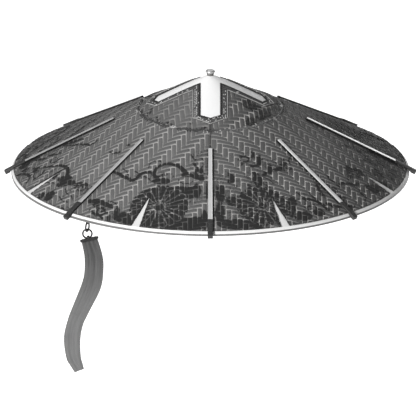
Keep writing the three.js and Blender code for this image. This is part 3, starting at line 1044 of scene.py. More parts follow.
def within(x, y, inner, outer, side):
    """Clamps points to the sheet's edges, and says which were outside."""
    reach, angle = np.hypot(x, y), np.arctan2(x, y)
    margin = 0.1 / np.maximum(reach, 1)
    limit = math.radians(FOLD_BACK)
    low, high = (-limit, 0.0) if side < 0 else (0.0, limit)
    if side == 0:
        low, high = -limit, limit
    fit_reach = np.clip(reach, inner, outer)
    fit_angle = np.clip(angle, low + margin, high - margin)
    outside = (np.abs(fit_reach - reach) > 1e-6) | (np.abs(fit_angle - angle) > 1e-6)
    return fit_reach * np.sin(fit_angle), fit_reach * np.cos(fit_angle), outside


# %% The finish of the strips
STRIP_TONE = 0.106
PAINT_TONE = 0.014
SPECK_REACH = 5.5


def woven_strips():
    """Dark stained cane: lengthwise fibres, worn lighter along its edges, under dark paint, with painted
    shade.
    """
    cane = Finish("woven strips", Specular_IOR_Level=0.12)
    along, across = cane.noted("along"), cane.noted("across")
    mark = cane.noted("mark")
    fibre_spot = cane.joined(across * 6, along * 0.12, mark * 40)
    fibres = cane.cloud(fibre_spot, 1.0, 4, 0.65)
    fine = cane.cloud(cane.place(), 1.6, 3, 0.6)
    wide = cane.cloud(cane.place(), 0.018, 3)
    tone = cane.blend(fibres, grey(STRIP_TONE * 0.62), grey(STRIP_TONE * 1.42, 0.01))
    tone = cane.blend(mark * 0.35, tone, grey(STRIP_TONE * 0.70))
    tone = cane.blend(wide.step(0.45, 0.75) * 0.3, tone, grey(STRIP_TONE * 1.6))
    worn = across.size().step(0.6, 1.05) * (0.25 + 0.4 * fine)
    tone = cane.blend(worn, tone, grey(0.17, 0.01))
    rim = cane.noted("level") * across.size().step(0.74, 0.94) * 0.6
    tone = cane.blend(cane.noted("level") * 0.25, tone, grey(STRIP_TONE * 0.5))
    tone = cane.blend(rim, tone, grey(0.26, 0.01))
    blots = cane.cloud(cane.place(), 0.30, 3, 0.65)
    edge = cane.noted("paint") + 0.7 * (fine - 0.5) + 2.6 * (blots - 0.5)
    near = 1 - cane.noted("paint").step(0.5, SPECK_REACH)
    specks = cane.cloud(cane.place(), 1.1, 2).step(0.57, 0.66) * near * 0.7
    tone = cane.blend(specks, tone, grey(PAINT_TONE * 1.5))
    paint = (1 - edge.step(-0.35, 0.45)) * (0.86 + 0.14 * fibres)
    tone = cane.blend(paint, tone, grey(PAINT_TONE))
    # The shade note carries painted shade, and the dark line of the front seam.
    shade = cane.noted("shade")
    cane.colour(cane.blend(shade, tone, grey(0.018)))
    cane.rough(0.62 - 0.14 * paint + 0.12 * fine)
    cane.relief(fibres + 0.5 * fine, 0.10, 0.6)
    return cane.material


STRIPS = woven_strips()

# %% [markdown]
# Beside the steel rods the strips get painted shade, standing for the shadows the rods cast.
# The strips are also painted darker towards the right, as shade on the side turned from the
# key light, and they are darker still behind the two ribs that stand out at the sides. Each
# point is given a share of that dark.

# %% Painted shade beside the rods and to the right
ROD_START, ROD_END = 134.4, 258.9
RIB_COUNT = 8
ROD_FADE = 3
ROD_HALF, ROD_FAR = 2.8, 3.0
WIDE_SIDE, NARROW_SIDE = 3.6, 2.2
LEFT_TURN, LEFT_STRENGTH = -0.3, 0.6
NEAR_STRENGTH, FAR_STRENGTH, DARKEST = 0.65, 0.25, 0.88
RIGHT_SHADE_STEPS = [(0.16, 0, 60), (0.3, 150, 210)]
CROWN_RIGHT_SHADE = [(0.2, 0, 40)]
SIDE_RIB_TURNS = (81, 87, 102, 112)
SIDE_RIB_REACH = (140, 180)
SIDE_RIB_DARK = (0.3, 0.6)


def painted_rod_shadows(x, y):
    """Painted shade for each rod's shadow, on both sides of it: wider clockwise, fainter on the left."""
    radius, turn = to_plan(x, y)
    off = turn - nearest_of_eight(turn)
    along, across = radius * np.cos(off) / RUN, radius * np.sin(off)
    beside = ramp(along, ROD_START - ROD_FADE, ROD_START)
    beside = beside * (1 - ramp(along, ROD_END, ROD_END + ROD_FADE))
    reach = np.where(across > 0, WIDE_SIDE, NARROW_SIDE)
    near = NEAR_STRENGTH * (1 - ramp((np.abs(across) - ROD_HALF) / reach, 0.1, 1.1))
    far = FAR_STRENGTH * (1 - ramp((np.abs(across) - ROD_FAR) / reach, 0, 3))
    strength = np.where(turn < LEFT_TURN, LEFT_STRENGTH, 1.0)
    return beside * strength * np.clip(near + far, 0, DARKEST)


def darker_right_and_behind_ribs(x, y, on_crown):
    """The share of darkening: painted shade deeper to the right, and more behind the two side ribs."""
    steps = RIGHT_SHADE_STEPS + CROWN_RIGHT_SHADE if on_crown else RIGHT_SHADE_STEPS
    share = sum(deep * ramp(x, low, high) for deep, low, high in steps)
    turn = np.degrees(np.arctan2(np.abs(x), y))
    start, full, fade, end = SIDE_RIB_TURNS
    behind = ramp(turn, start, full) * (1 - ramp(turn, fade, end))
    behind = behind * ramp(np.hypot(x, y), *SIDE_RIB_REACH)
    return share + behind * np.where(x > 0, SIDE_RIB_DARK[1], SIDE_RIB_DARK[0])


# %% The woven sheets
STRIP_FLOOR = BACKING_TOP - 0.25
FIRST_DROP = 0.0001
SHEET_MARGIN = 25
SEAM_INSET, LIP_INSET = 0.8, 0.4


def woven_sheet(name, sheet, inner, outer, side, paint, opening=None):
    """Lays both kinds of stretch flat, trims them, gives them walls, and wraps them.

    The side is -1 or 1 for a half of the brim, which has slits, and 0 for the crown.
    """
    parts = [laid(sheet, kind, outer + SHEET_MARGIN) for kind in ("upright", "level")]
    x, y, height = np.vstack([points for points, faces, facts in parts]).T
    faces = np.vstack([parts[0][1], parts[1][1] + len(parts[0][0])])
    x, y, outside = within(x, y, inner, outer, side)
    slit_side = np.zeros(x.shape, dtype=int)
    if side:
        x, y, slit_side = cut_slits(x, y)
    else:
        outside = outside | opening(x, y)
    faces = keeps(faces, outside | (slit_side != 0), slit_side)
    used, numbers = np.unique(faces, return_inverse=True)
    flat = np.column_stack([x, y, height])[used] * MM
    piece = new_piece(name, flat, numbers.reshape(faces.shape).tolist())
    for key in parts[0][2]:
        note(piece, key, np.concatenate([facts[key] for points, faces, facts in parts])[used])
    edit(piece)
    bpy.ops.mesh.dissolve_degenerate(threshold=2 * MERGE_REACH)
    bpy.ops.mesh.select_all(action="SELECT")
    bpy.ops.mesh.region_to_loop()
    bpy.ops.mesh.extrude_region_move(TRANSFORM_OT_translate={"value": (0, 0, -FIRST_DROP)})
    done()
    places = points_of(piece)
    places[selected_points(piece), 2] = STRIP_FLOOR * MM
    x, y, height = (places / MM).T
    note(piece, "paint", paint(x, y))
    # Painted shade beside the rods, at cut edges and to the right, with the dark front seam.
    shades = [painted_rod_shadows(x, y), edge_shade_and_seam(x, y), darker_right_and_behind_ribs(x, y, side == 0)]
    note(piece, "shade", np.maximum.reduce(shades))
    move_points(piece, wrapped(x, y, height))
    facing_up(piece)
    return piece


for name, sheet, side in (("left", LEFT_SHEET, -1), ("right", RIGHT_SHEET, 1)):
    inner, outer = BRIM_INNER + SEAM_INSET, BRIM_OUTER - LIP_INSET
    strips = woven_sheet(f"brim_strips_{name}", sheet, inner, outer, side, brim_paint)
    belongs(strips, 40, STRIPS, "woven_strips", "brim_weave")

# %% [markdown]
# ## The crown
#
# Inside the brim's ring a smaller woven disc lies under the cross and its trim.

# %% The cross seen from above
CROSS_PLAN = {"half": 12.5, "shoulder": 65.5, "tip": 70.7}
TRIM_PLAN = {"half": 22.1, "shoulder": 68.9, "tip": 80.5}
CROWN_OUTER = 90.3 / RUN


def from_outline(x, y, plan):
    """Distance outside the four-armed outline, in mm, seen from above; below zero inside."""
    along = np.maximum(np.abs(x), np.abs(y))
    across = np.minimum(np.abs(x), np.abs(y))
    rise = plan["tip"] - plan["shoulder"]
    length = math.hypot(rise, plan["half"])
    slanted = ((along - plan["tip"]) * plan["half"] + across * rise) / length
    return np.maximum(across - plan["half"], slanted)


def under_trim(x, y):
    radius, turn = to_plan(x, y)
    return from_outline(radius * np.sin(turn), -radius * np.cos(turn), TRIM_PLAN) < -1.0


# %% The crown's weave
DISC_INNER, DISC_RINGS, DISC_COLUMNS = 2.0, 48, 192
CROWN_STRIPS_INNER = 3.0
disc_x, disc_y, disc_faces = ring_grid(DISC_INNER, CROWN_OUTER, DISC_RINGS, DISC_COLUMNS)
disc_faces = keeps(disc_faces, under_trim(disc_x, disc_y), np.zeros(disc_x.shape, dtype=int))
crown_backing = backing_layer("crown_backing", disc_x, disc_y, disc_faces, crown_paint, CROWN_PALE_REACH)
belongs(crown_backing, 40, CROWN_SPLINTS, "woven_strips", "crown_weave")
outer = CROWN_OUTER - SEAM_INSET
crown_strips = woven_sheet(
    "crown_strips", CROWN_SHEET, CROWN_STRIPS_INNER, outer, 0, crown_paint, under_trim
)
belongs(crown_strips, 40, STRIPS, "woven_strips", "crown_weave")

# %% [markdown]
# ## The cross and its dark trim
#
# The cross is a white metal plate with four pointed arms, folded down over the cone. It
# lies in an opening of the weave, and a dark braid frames the opening, so the braid's
# inner wall shows as a dark line above the metal. The cross could be cut from a sheet, and
# here the four sides of a square are drawn out. The braid is a flat band drawn out between
# two outlines. Both are then moved straight down onto the cone, which keeps the arms
# straight when seen from above.

# %% Four-armed plates
TRIM_TOP = 1.9
TRIM_FLOOR = 0.35
CROSS_TOP = 0.9
CROSS_FLOOR = 0.1


def four_armed_plate(name, plan, cuts):
    """A flat plate with four pointed arms, evenly divided, around the axis."""
    choose()
    bpy.ops.mesh.primitive_plane_add(size=2 * plan["half"] * MM)
    plate = named(name)
    reach = (plan["shoulder"] - plan["half"]) * MM
    for turn in range(4):
        way = (round(math.cos(turn * math.pi / 2)), round(math.sin(turn * math.pi / 2)), 0)
        for length, pointed in ((reach, False), ((plan["tip"] - plan["shoulder"]) * MM, True)):
            edit(plate)
            bpy.ops.mesh.select_all(action="DESELECT")
            bpy.ops.mesh.select_mode(type="EDGE")
            done()
            places = points_of(plate)
            outer = max(places @ way)
            for edge in plate.data.edges:
                ends = places[list(edge.vertices)]
                aside = np.abs(ends @ (way[1], way[0], 0)).max()
                in_arm = aside < (plan["half"] + 0.1) * MM
                edge.select = bool((ends @ way).min() > outer - 1e-6 and in_arm)
            bpy.ops.object.mode_set(mode="EDIT")
            move = tuple(length * share for share in way)
            bpy.ops.mesh.extrude_region_move(TRANSFORM_OT_translate={"value": move})
            if pointed:
                bpy.ops.mesh.merge(type="CENTER")
            done()
    edit(plate)
    bpy.ops.mesh.remove_doubles(threshold=MERGE_REACH)
    bpy.ops.mesh.subdivide(number_cuts=cuts)
    done()
    return plate


def on_cone(plan_points, above):
    """Places on the cone, in metres, over points seen from above, in mm."""
    radius = np.hypot(plan_points[:, 0], plan_points[:, 1])
    return np.column_stack([plan_points, cone_height(radius, above)]) * MM


def plate_on_cone(plate, top, floor):
    """Moves a flat plate straight down onto the cone and gives it its thickness."""
    move_points(plate, on_cone(points_of(plate)[:, :2] / MM, top))
    outward(plate)
    facing_up(plate)
    finish_modifier(plate, "SOLIDIFY", thickness=(top - floor) * RUN * MM, offset=-1)
    smooth(plate, 40)


# %% The white metal of the cross


def white_metal():
    """Silvered white metal: fine rubbing marks along the arms and a dulled edge."""
    metal = Finish("white metal", Metallic=0.05, Specular_IOR_Level=0.25)
    rubbed = metal.cloud(metal.place((1, 0.12, 1)), 1.2, 4, 0.7)
    crossed = metal.cloud(metal.place((0.12, 1, 1)), 1.2, 4, 0.7)
    cloudy = metal.cloud(metal.place(), 0.06, 3)
    edge = 1 - (0 - metal.noted("outline")).step(0.2, 2.2)
    tone = metal.blend(cloudy, grey(0.74), grey(0.80))
    tone = metal.blend(0.10 * (rubbed + crossed), tone, grey(0.62))
    metal.colour(metal.blend(edge * 0.35 * cloudy.step(0.35, 0.6), tone, grey(0.45)))
    metal.rough(0.50 + 0.16 * rubbed)
    metal.relief(rubbed + crossed, 0.05, 0.3)
    return metal.material


cross = four_armed_plate("cross_plate", CROSS_PLAN, 15)
note(cross, "outline", from_outline(*(points_of(cross)[:, :2].T / MM), CROSS_PLAN))
plate_on_cone(cross, CROSS_TOP, CROSS_FLOOR)
finish_modifier(
    cross, "BEVEL", width=0.2 * MM, segments=2, limit_method="ANGLE", angle_limit=math.radians(55)
)
belongs(cross, 50, white_metal(), "white_metal", "crown_cross")

# %% The dark braid round the cross


def dark_braid():
    """A flat braid of black thread: slanting plaits, light flecks, and fuzz."""
    braid = Finish("dark braid", Specular_IOR_Level=0.2)
    outline = 0 - braid.noted("trim_outline")
    spot = braid.place()
    slant = braid.place((1, 1, 0), (0, 0, math.radians(45)))
    plait = braid.node(
        "ShaderNodeTexWave", {"wave_type": "BANDS"}, {"Vector": slant, "Scale": 0.11, "Distortion": 1.5}
    )
    fuzz = braid.cloud(spot, 0.7, 4, 0.7)
    tone = braid.blend(plait, grey(0.012), grey(0.030))
    middle = braid.noted("cross_outline").step(1.8, 3.2) * outline.step(0.8, 1.8)
    tone = braid.blend(middle * (0.25 + 0.5 * fuzz.step(0.45, 0.62)), tone, grey(0.13))
    braid.colour(tone)
    braid.rough(0.72 + 0.2 * fuzz)
    braid.relief(plait + 0.6 * fuzz, 0.35, 0.8)
    return braid.material


def outline_walk(plan, grow, counts):
    """Points in mm along the four-armed outline moved outwards, and the pieces of each side."""
    half, shoulder, tip = plan["half"] + grow, plan["shoulder"] + 0.3 * grow, plan["tip"] + grow
    corners = []
    for turn in range(4):
        for x, y in ((half, half), (half, shoulder), (0, tip), (-half, shoulder)):
            corners.append(turned(x, y, turn * math.pi / 2))
    corners = np.array([*corners, corners[0]])
    walk = []
    for side, (start, end) in enumerate(zip(corners[:-1], corners[1:])):
        steps = counts[side % 4]
        walk.extend(start + (end - start) * i / steps for i in range(steps))
    return np.array(walk)


def band_between(name, inner, outer, counts, across):
    """A flat band: the inner outline as a ring of edges, drawn outwards in even steps."""
    first, last = (outline_walk(plan, 0, counts) * MM for plan in (inner, outer))
    count = len(first)
    places = np.column_stack([first, np.zeros(count)])
    band = new_piece(name, places, edges=[(i, (i + 1) % count) for i in range(count)])
    edit(band)
    bpy.ops.mesh.select_mode(type="EDGE")
    bpy.ops.mesh.select_all(action="SELECT")
    ring = first
    for step in range(1, across + 1):
        bpy.ops.mesh.extrude_edges_move(TRANSFORM_OT_translate={"value": (0, 0, 0)})
        done()
        places, chosen = points_of(band), selected_points(band)
        which = np.abs(places[chosen, None, :2] - ring[None]).sum(axis=2).argmin(axis=1)
        ring = first + (last - first) * step / across
        places[chosen, :2] = ring[which]
        move_points(band, places)
        bpy.ops.object.mode_set(mode="EDIT")
    done()
    return band


BAND_COUNTS = (26, 12, 12, 26)
trim = band_between("trim_band", CROSS_PLAN, TRIM_PLAN, BAND_COUNTS, 7)
trim_x, trim_y = points_of(trim)[:, :2].T / MM
note(trim, "trim_outline", from_outline(trim_x, trim_y, TRIM_PLAN))
note(trim, "cross_outline", from_outline(trim_x, trim_y, CROSS_PLAN))
plate_on_cone(trim, TRIM_TOP, TRIM_FLOOR)
belongs(trim, 40, dark_braid(), "dark_braid", "cross_trim")

# %% [markdown]
# A thin light cord is sewn along the braid's outer edge. A curve with a round section
# would give a plain tube. Here rings of points are laid along the trim's outline, and
# their two ridges turn as they go, like the plies of a thread.

# %% The light edge cord
CORD_RADIUS, CORD_TWISTS = 0.62, 160
CORD_COUNTS = (36, 19, 19, 36)
CORD_GROW = -0.4
SEWN_HEIGHT = TRIM_TOP + 0.15
TUBE_SIDES = 8
PLY_DEPTH = 0.16


def twisted_tube(name, path, radius, twists):
    """A closed tube round a path in metres, shaped as two plies that turn along it."""
    count = len(path)
    ahead = np.roll(path, -1, axis=0) - np.roll(path, 1, axis=0)
    ahead /= np.linalg.norm(ahead, axis=1)[:, None]
    sideways = np.cross(ahead, [0, 0, 1])
    sideways /= np.linalg.norm(sideways, axis=1)[:, None]
    upward = np.cross(sideways, ahead)
    angles = np.arange(TUBE_SIDES)[None] / TUBE_SIDES * 2 * math.pi
    twist = np.arange(count)[:, None] / count * 2 * math.pi * twists
    reach = radius * MM * (1 + PLY_DEPTH * np.cos(2 * angles + twist))[..., None]
    round_it = np.cos(angles)[..., None] * sideways[:, None] + np.sin(angles)[..., None] * upward[:, None]
    places = path[:, None] + reach * round_it
    number = np.pad(np.arange(count * TUBE_SIDES).reshape(count, -1), (0, 1), mode="wrap")
    tube = new_piece(name, places.reshape(-1, 3), grid_faces(number).tolist())
    outward(tube)
    return tube


def pale_thread(name, tone):
    """Undyed silk thread, a little grey from handling."""
    thread = Finish(name, Specular_IOR_Level=0.3, Sheen_Weight=0.2)
    fuzz = thread.cloud(thread.place(), 1.5, 4, 0.7)
    soil = thread.cloud(thread.place(), 0.12, 3)
    base = thread.blend(fuzz, grey(tone * 0.7, 0.01), grey(tone * 1.35, 0.01))
    thread.colour(thread.blend(soil.step(0.45, 0.75) * 0.5, base, grey(0.12)))
    thread.rough(0.6 + 0.3 * fuzz)
    thread.relief(fuzz, 0.2, 0.6)
    return thread.material


THREAD = pale_thread("pale thread", 0.26)
BRIGHT_THREAD = pale_thread("bright thread", 0.42)
cord_path = on_cone(outline_walk(TRIM_PLAN, CORD_GROW, CORD_COUNTS), SEWN_HEIGHT)
cord = twisted_tube("trim_cord", cord_path, CORD_RADIUS, CORD_TWISTS)
belongs(cord, 60, THREAD, "dark_braid", "cross_trim")

# %% [markdown]
# Inside the cord run two rows of short stitches, worn away in places and mostly gone on
# the right. One stitch is a small squashed ball, copied along both rows.

# %% The stitches on the braid
STITCH_ROWS = ((-2.9, 0.85), (-4.9, 0.7), (-7.2, 0.22))
STITCH_COUNTS = (17, 8, 8, 17)
STITCH_SIZE = (1.1, 0.6, 0.4)
SWING = 0.5
OTHER_ARMS, ARM_END, ARM_RIGHT = 0.25, 0.6, 0.6


def stitches(name, rows, size, above, swing):
    """Stitches along rows of plan points, each with its chance to be still there."""
    choose()
    bpy.ops.mesh.primitive_uv_sphere_add(segments=8, ring_count=5, radius=1)
    ball = named("stitch")
    form = points_of(ball) * size
    form_faces = [list(face.vertices) for face in ball.data.polygons]
    bpy.data.objects.remove(ball)
    chance = np.random.default_rng(11)
    places, faces = [], []
    for row, shares in rows:
        ahead = np.roll(row, -1, axis=0) - row
        for (x, y), (dx, dy), kept in zip(row, ahead, shares):
            angle = math.atan2(dy, dx) + chance.normal(0, swing)
            if chance.random() > kept:
                continue
            plan = np.column_stack(turned(form[:, 0], form[:, 1], angle)) + (x, y)
            faces.extend([i + len(places) * len(form) for i in face] for face in form_faces)
            places.append(on_cone(plan, above + form[:, 2]))
    print("stitches", len(places))
    return new_piece(name, np.vstack(places), faces)


def trim_row(grow, share):
    """One row on the braid: most stitches are left beside the front arm, on its left."""
    row = outline_walk(TRIM_PLAN, grow, STITCH_COUNTS)
    x, y = row.T
    kept = np.where(y < -TRIM_PLAN["half"], 1.0, OTHER_ARMS)
    kept *= np.where(y < -TRIM_PLAN["shoulder"], ARM_END, 1.0)
    return row, share * kept * np.where(x < 0, 1.0, ARM_RIGHT)


trim_rows = [trim_row(grow, share) for grow, share in STITCH_ROWS]
trim_stitches = stitches("trim_stitches", trim_rows, STITCH_SIZE, SEWN_HEIGHT, SWING)
belongs(trim_stitches, 60, BRIGHT_THREAD, "dark_braid", "cross_trim")

# %% [markdown]
# The crown's disc meets the brim's ring in a seam, bound with a dark thread that has
# come loose in places and shows pale flecks. Rough overcast stitches cross it.

# %% The crown's seam
SEAM_RADIUS = 90.45
SEAM_STEPS = 400
SEAM_ABOVE = 1.6
SEAM_THREAD_RADIUS, SEAM_TWISTS = 1.05, 120
SEAM_ROWS = ((-1.6, 0.6), (0.2, 0.5), (2.0, 0.6))
SEAM_STITCH = (2.2, 0.85, 0.5)
SEAM_SWING = 1.0
ROW_SHIFT = 0.004
RIGHT_KEPT = 0.5
FADED_REACH = 30


def seam_thread():
    thread = Finish("seam thread", Specular_IOR_Level=0.2)
    dashes = thread.cloud(thread.place(), 0.11, 3, 0.6)
    fuzz = thread.cloud(thread.place(), 1.2, 3)
    tone = thread.blend(fuzz, grey(0.02), grey(0.06))
    tone = thread.blend(thread.noted("faded") * 0.7, tone, grey(0.15))
    thread.colour(thread.blend(dashes.step(0.55, 0.60), tone, grey(0.30, 0.01)))
    thread.rough(0.7 + 0.2 * fuzz)
    thread.relief(fuzz, 0.2, 0.6)
    return thread.material


def circle_of(radius, turns):
    return radius * np.stack([np.cos(turns), np.sin(turns)], axis=1)


def faded_seam_piece(piece):
    """To the right the thread has faded to the grey of the strips."""
    note(piece, "faded", ramp(points_of(piece)[:, 0] / MM, 0, FADED_REACH))
    belongs(piece, 60, SEAM_THREAD, "dark_braid", "crown_weave")


SEAM_THREAD = seam_thread()
seam_turns = np.linspace(0, 2 * math.pi, SEAM_STEPS, endpoint=False)
seam_path = on_cone(circle_of(SEAM_RADIUS, seam_turns), SEAM_ABOVE)
faded_seam_piece(twisted_tube("crown_seam", seam_path, SEAM_THREAD_RADIUS, SEAM_TWISTS))
seam_rows = []
for offset, share in SEAM_ROWS:
    circle = circle_of(SEAM_RADIUS + offset, seam_turns[::3] + ROW_SHIFT * offset)
    seam_rows.append((circle, share * np.where(circle[:, 0] < 0, 1.0, RIGHT_KEPT)))
seam_stitches = stitches("seam_stitches", seam_rows, SEAM_STITCH, SEAM_ABOVE + 0.3, SEAM_SWING)
faded_seam_piece(seam_stitches)

# %% [markdown]
# ## The knob at the peak
#
# A small turned steel knob, flat on top, with a bevelled crown and a ring under its lip.
# It is a lathe piece on the real hat, so its section is spun.

# %% Steel and the knob
KNOB_NECK = 4.2
KNOB_SECTION = [
    (4.3, 0.3),
    (4.7, 0.7),
    (4.5, 1.1),
    (5.0, 1.5),
    (4.8, 1.9),
    (5.3, 2.3),
    (6.1, 2.9),
    (6.1, 3.9),
    (5.0, 5.3),
    (3.4, 5.5),
]
KNOB_LIP = 2.7
KNOB_SINK = 0.5
KNOB_STEPS = 64
KNOB_CORNER = 0.12


def turned_steel():
    """Bright steel with turning marks and faint stains, painted dark below its lip as shade."""
    steel = Finish("turned steel", Metallic=0.75, Specular_IOR_Level=0.5)
    brushed = steel.cloud(steel.place((0.1, 0.1, 1)), 3.0, 4, 0.7)
    stains = steel.cloud(steel.place(), 0.09, 4, 0.6)
    base = steel.blend(brushed, grey(0.516), grey(0.636))
    base = steel.blend(stains.step(0.55, 0.78) * 0.4, base, grey(0.30, 0.03))
    # Painted shade below the lip.
    steel.colour(steel.blend(steel.noted("tarnish"), base, grey(0.17, 0.02)))
    steel.rough(0.30 + 0.22 * stains + 0.25 * steel.noted("tarnish"))
    steel.relief(brushed, 0.03, 0.35)
    return steel.material


knob_foot = cone_height(0, CROSS_TOP - KNOB_SINK)
knob = turned_piece(
    "peak_knob",
    [(0, knob_foot), (KNOB_NECK, knob_foot - KNOB_NECK * math.tan(SLOPE))]
    + [(radius, knob_foot + height) for radius, height in KNOB_SECTION]
    + [(0, knob_foot + KNOB_SECTION[-1][1])],
    KNOB_STEPS,
    corner=KNOB_CORNER,
)
# Below the lip the knob gets painted shade.
note(knob, "tarnish", points_of(knob)[:, 2] / MM < knob_foot + KNOB_LIP)
belongs(knob, 30, turned_steel(), "polished_steel", "finial_knob")

# %% [markdown]
# ## The ribs
#
# Eight steel rods run down the brim and end in black caps that grip the rim. Each rod is
# a bar with a low ridge, a little wider towards the rim. One rod and one cap are shaped
# from cubes lying along X, then copied to the eight places with their own meshes.

# %% A rod
ROD_WIDTHS = (4.9, 6.2)
ROD_FLOOR = 2.05
ROD_SIDES = (0, 0.3, 0.46, 0.5)
ROD_PROFILE = (4.6, 4.48, 4.35, 4.15)
ROD_CUTS, CAP_CUTS = 6, 16
CAP_WIDTH = 6.7
CAP_BEVEL, CAP_CORNER = 0.6, 0.7
CAP_TOPS = (5.0, 4.3)
CAP_STEPS = (259.2, 276.8, 277.1, 281.4, 281.8, 288.5)
CAP_FLOORS = (2.05, 2.05, 1.4, 0.2, -0.9, -0.9)


def bar(name, cuts):
    """A cube one unit wide along X from 0, cut along its length."""
    choose()
    bpy.ops.mesh.primitive_cube_add(size=1, location=(0.5, 0, 0.5))
    piece = named(name)
    place_in_mesh(piece)
    cut_across(piece, 0, [i / cuts for i in range(1, cuts)])
    return piece


def ridged_rod():
    """The rod in its own frame, in mm: X down the slope, Y across, Z off the shell."""
    rod = bar("rod", ROD_CUTS)
    cut_across(rod, 1, [-ROD_SIDES[2], -ROD_SIDES[1], *ROD_SIDES[:3]])
    share, side, top = points_of(rod).T
    along = ROD_START + (ROD_END - ROD_START) * share
    width = np.interp(share, [0, 1], ROD_WIDTHS)
    ridge = np.interp(np.abs(side), ROD_SIDES, ROD_PROFILE)
    above = np.where(top > 0.5, ridge, ROD_FLOOR)
    move_points(rod, np.column_stack([along, side * width, above]))
    note(rod, "along", along)
    note(rod, "above", above)
    note(rod, "across", 2 * side)
    return rod


def rounded_cap():
    """The cap in the same frame: a square bar that steps down over the rim's lip."""
    cap = bar("cap", CAP_CUTS)
    share, side, top = points_of(cap).T
    along = CAP_STEPS[0] + (CAP_STEPS[-1] - CAP_STEPS[0]) * share
    floor = np.interp(along, CAP_STEPS, CAP_FLOORS)
    above = np.where(top > 0.5, np.interp(share, [0, 1], CAP_TOPS), floor)
    move_points(cap, np.column_stack([along, side * CAP_WIDTH, above]))
    finish_modifier(cap, "BEVEL", width=CAP_BEVEL, segments=3, angle_limit=math.radians(40))
    note(cap, "corner", np.abs(points_of(cap)[:, 1]) > CAP_WIDTH / 2 - CAP_CORNER)
    return cap


def rib_piece(form, number, *finish):
    """Copies a form from its own frame, in mm, to rib number 1 to 8, and finishes it."""
    piece = bpy.data.objects.new(f"{form.name}_{number}", form.data.copy())
    piece.data.name = piece.name
    bpy.context.scene.collection.objects.link(piece)
    along, across, above = points_of(piece).T
    turn = (number - 1) * 2 * math.pi / RIB_COUNT - math.pi / 2
    x, y = turned(along * RUN + above * DROP, across, turn)
    height = SHELL_PEAK - along * DROP + above * RUN
    move_points(piece, np.column_stack([x, y, height]) * MM)
    outward(piece)
    belongs(piece, *finish, f"rib_{form.name}_{number}")


# %% The finish of the rods and caps


def rod_steel():
    """Rod steel from three notes; its sides and a line down its middle get painted shade."""
    steel = Finish("rod steel", Metallic=0.85, Specular_IOR_Level=0.5)
    along, across = steel.noted("along"), steel.noted("across")
    # Painted shade: the sides below the ridge are painted near black.
    flank_shade = 1 - steel.noted("above").step(3.95, 4.14)
    brushed = steel.cloud(steel.joined(along * 0.06, across * 4, along * 0.01), 1.0, 5, 0.7)
    stains = steel.cloud(steel.place(), 0.07, 4, 0.6)
    # Painted shade: a darker line down the middle of the rod.
    middle_shade = 1 - across.size().step(0.05, 0.40)
    base = steel.blend(brushed, grey(0.80), grey(0.94))
    base = steel.blend(middle_shade * 0.35, base, grey(0.56))
    base = steel.blend(stains.step(0.58, 0.80) * 0.35, base, grey(0.33, 0.03))
    steel.colour(steel.blend(flank_shade, base, grey(0.03)))
    steel.rough(0.32 + 0.10 * stains + 0.08 * brushed)
    steel.relief(brushed, 0.03, 0.4)
    return steel.material


def blackened_metal():
    """Blackened iron under wax: dull, with bare grey metal on its worn corners."""
    iron = Finish("blackened metal", Metallic=0.3, Specular_IOR_Level=0.3)
    spot = iron.place()
    grain = iron.cloud(spot, 0.8, 4, 0.65)
    patches = iron.cloud(spot, 0.12, 3)
    worn = iron.noted("corner") * grain.step(0.35, 0.65)
    base = iron.blend(grain, grey(0.010), grey(0.026))
    base = iron.blend(patches.step(0.5, 0.75) * 0.4, base, grey(0.04, 0.02))
    iron.colour(iron.blend(worn * 0.35, base, grey(0.12)))
    iron.rough(0.42 + 0.25 * grain)
    iron.relief(grain + 0.5 * patches, 0.12, 0.5)
    return iron.material


ROD_STEEL, BLACK_IRON = rod_steel(), blackened_metal()
rod_form, cap_form = ridged_rod(), rounded_cap()
for number in range(1, RIB_COUNT + 1):
    rib_piece(rod_form, number, 25, ROD_STEEL, "polished_steel")
    rib_piece(cap_form, number, 30, BLACK_IRON, "blackened_metal")
bpy.data.objects.remove(rod_form)
bpy.data.objects.remove(cap_form)

# %% [markdown]
# ## Rings and clamp
#
# An eye under the rim holds two wire rings, and the lower one holds a small clamp that
# grips the ribbon's top. They hang in one vertical line at the left of the front.

# %% The hanging line and the rings
HANG_TURN = math.radians(-38.7)
HANG_RADIUS = 247.0
HANG_X, HANG_Y = HANG_RADIUS * math.sin(HANG_TURN), -HANG_RADIUS * math.cos(HANG_TURN)
WIRE = 1.05
RING_RADIUS = 5.75


def dark_wire():
    """Dark iron wire: a dull blue-black with rubbed bright spots."""
    wire = Finish("dark wire", Metallic=0.75)
    grain = wire.cloud(wire.place(), 1.2, 4, 0.65)
    base = wire.blend(grain, grey(0.012), grey(0.030))
    wire.colour(wire.blend(grain.step(0.60, 0.78) * 0.4, base, grey(0.22)))
    wire.rough(0.36 + 0.25 * grain)
    wire.relief(grain, 0.06, 0.4)
    return wire.material


DARK_WIRE = dark_wire()


def wire_ring(name, drop, turn, node):
    """A ring of wire, its centre under the rim, turned by degrees about the upright."""
    choose()
    bpy.ops.mesh.primitive_torus_add(
        location=(HANG_X * MM, HANG_Y * MM, (RIM_HEIGHT - drop) * MM),
        rotation=(math.pi / 2, 0, math.radians(turn)),
        major_segments=56,
        minor_segments=14,
        major_radius=RING_RADIUS * MM,
        minor_radius=WIRE * MM,
    )
    ring = named(name)
    place_in_mesh(ring)
    belongs(ring, 60, DARK_WIRE, "dark_wire", node)


wire_ring("ring_upper", 6.9, 68, "upper_ring")
wire_ring("ring_lower", 16.0, 0, "lower_ring")
for material_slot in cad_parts["rim_eye"].material_slots:
    material_slot.material = DARK_WIRE

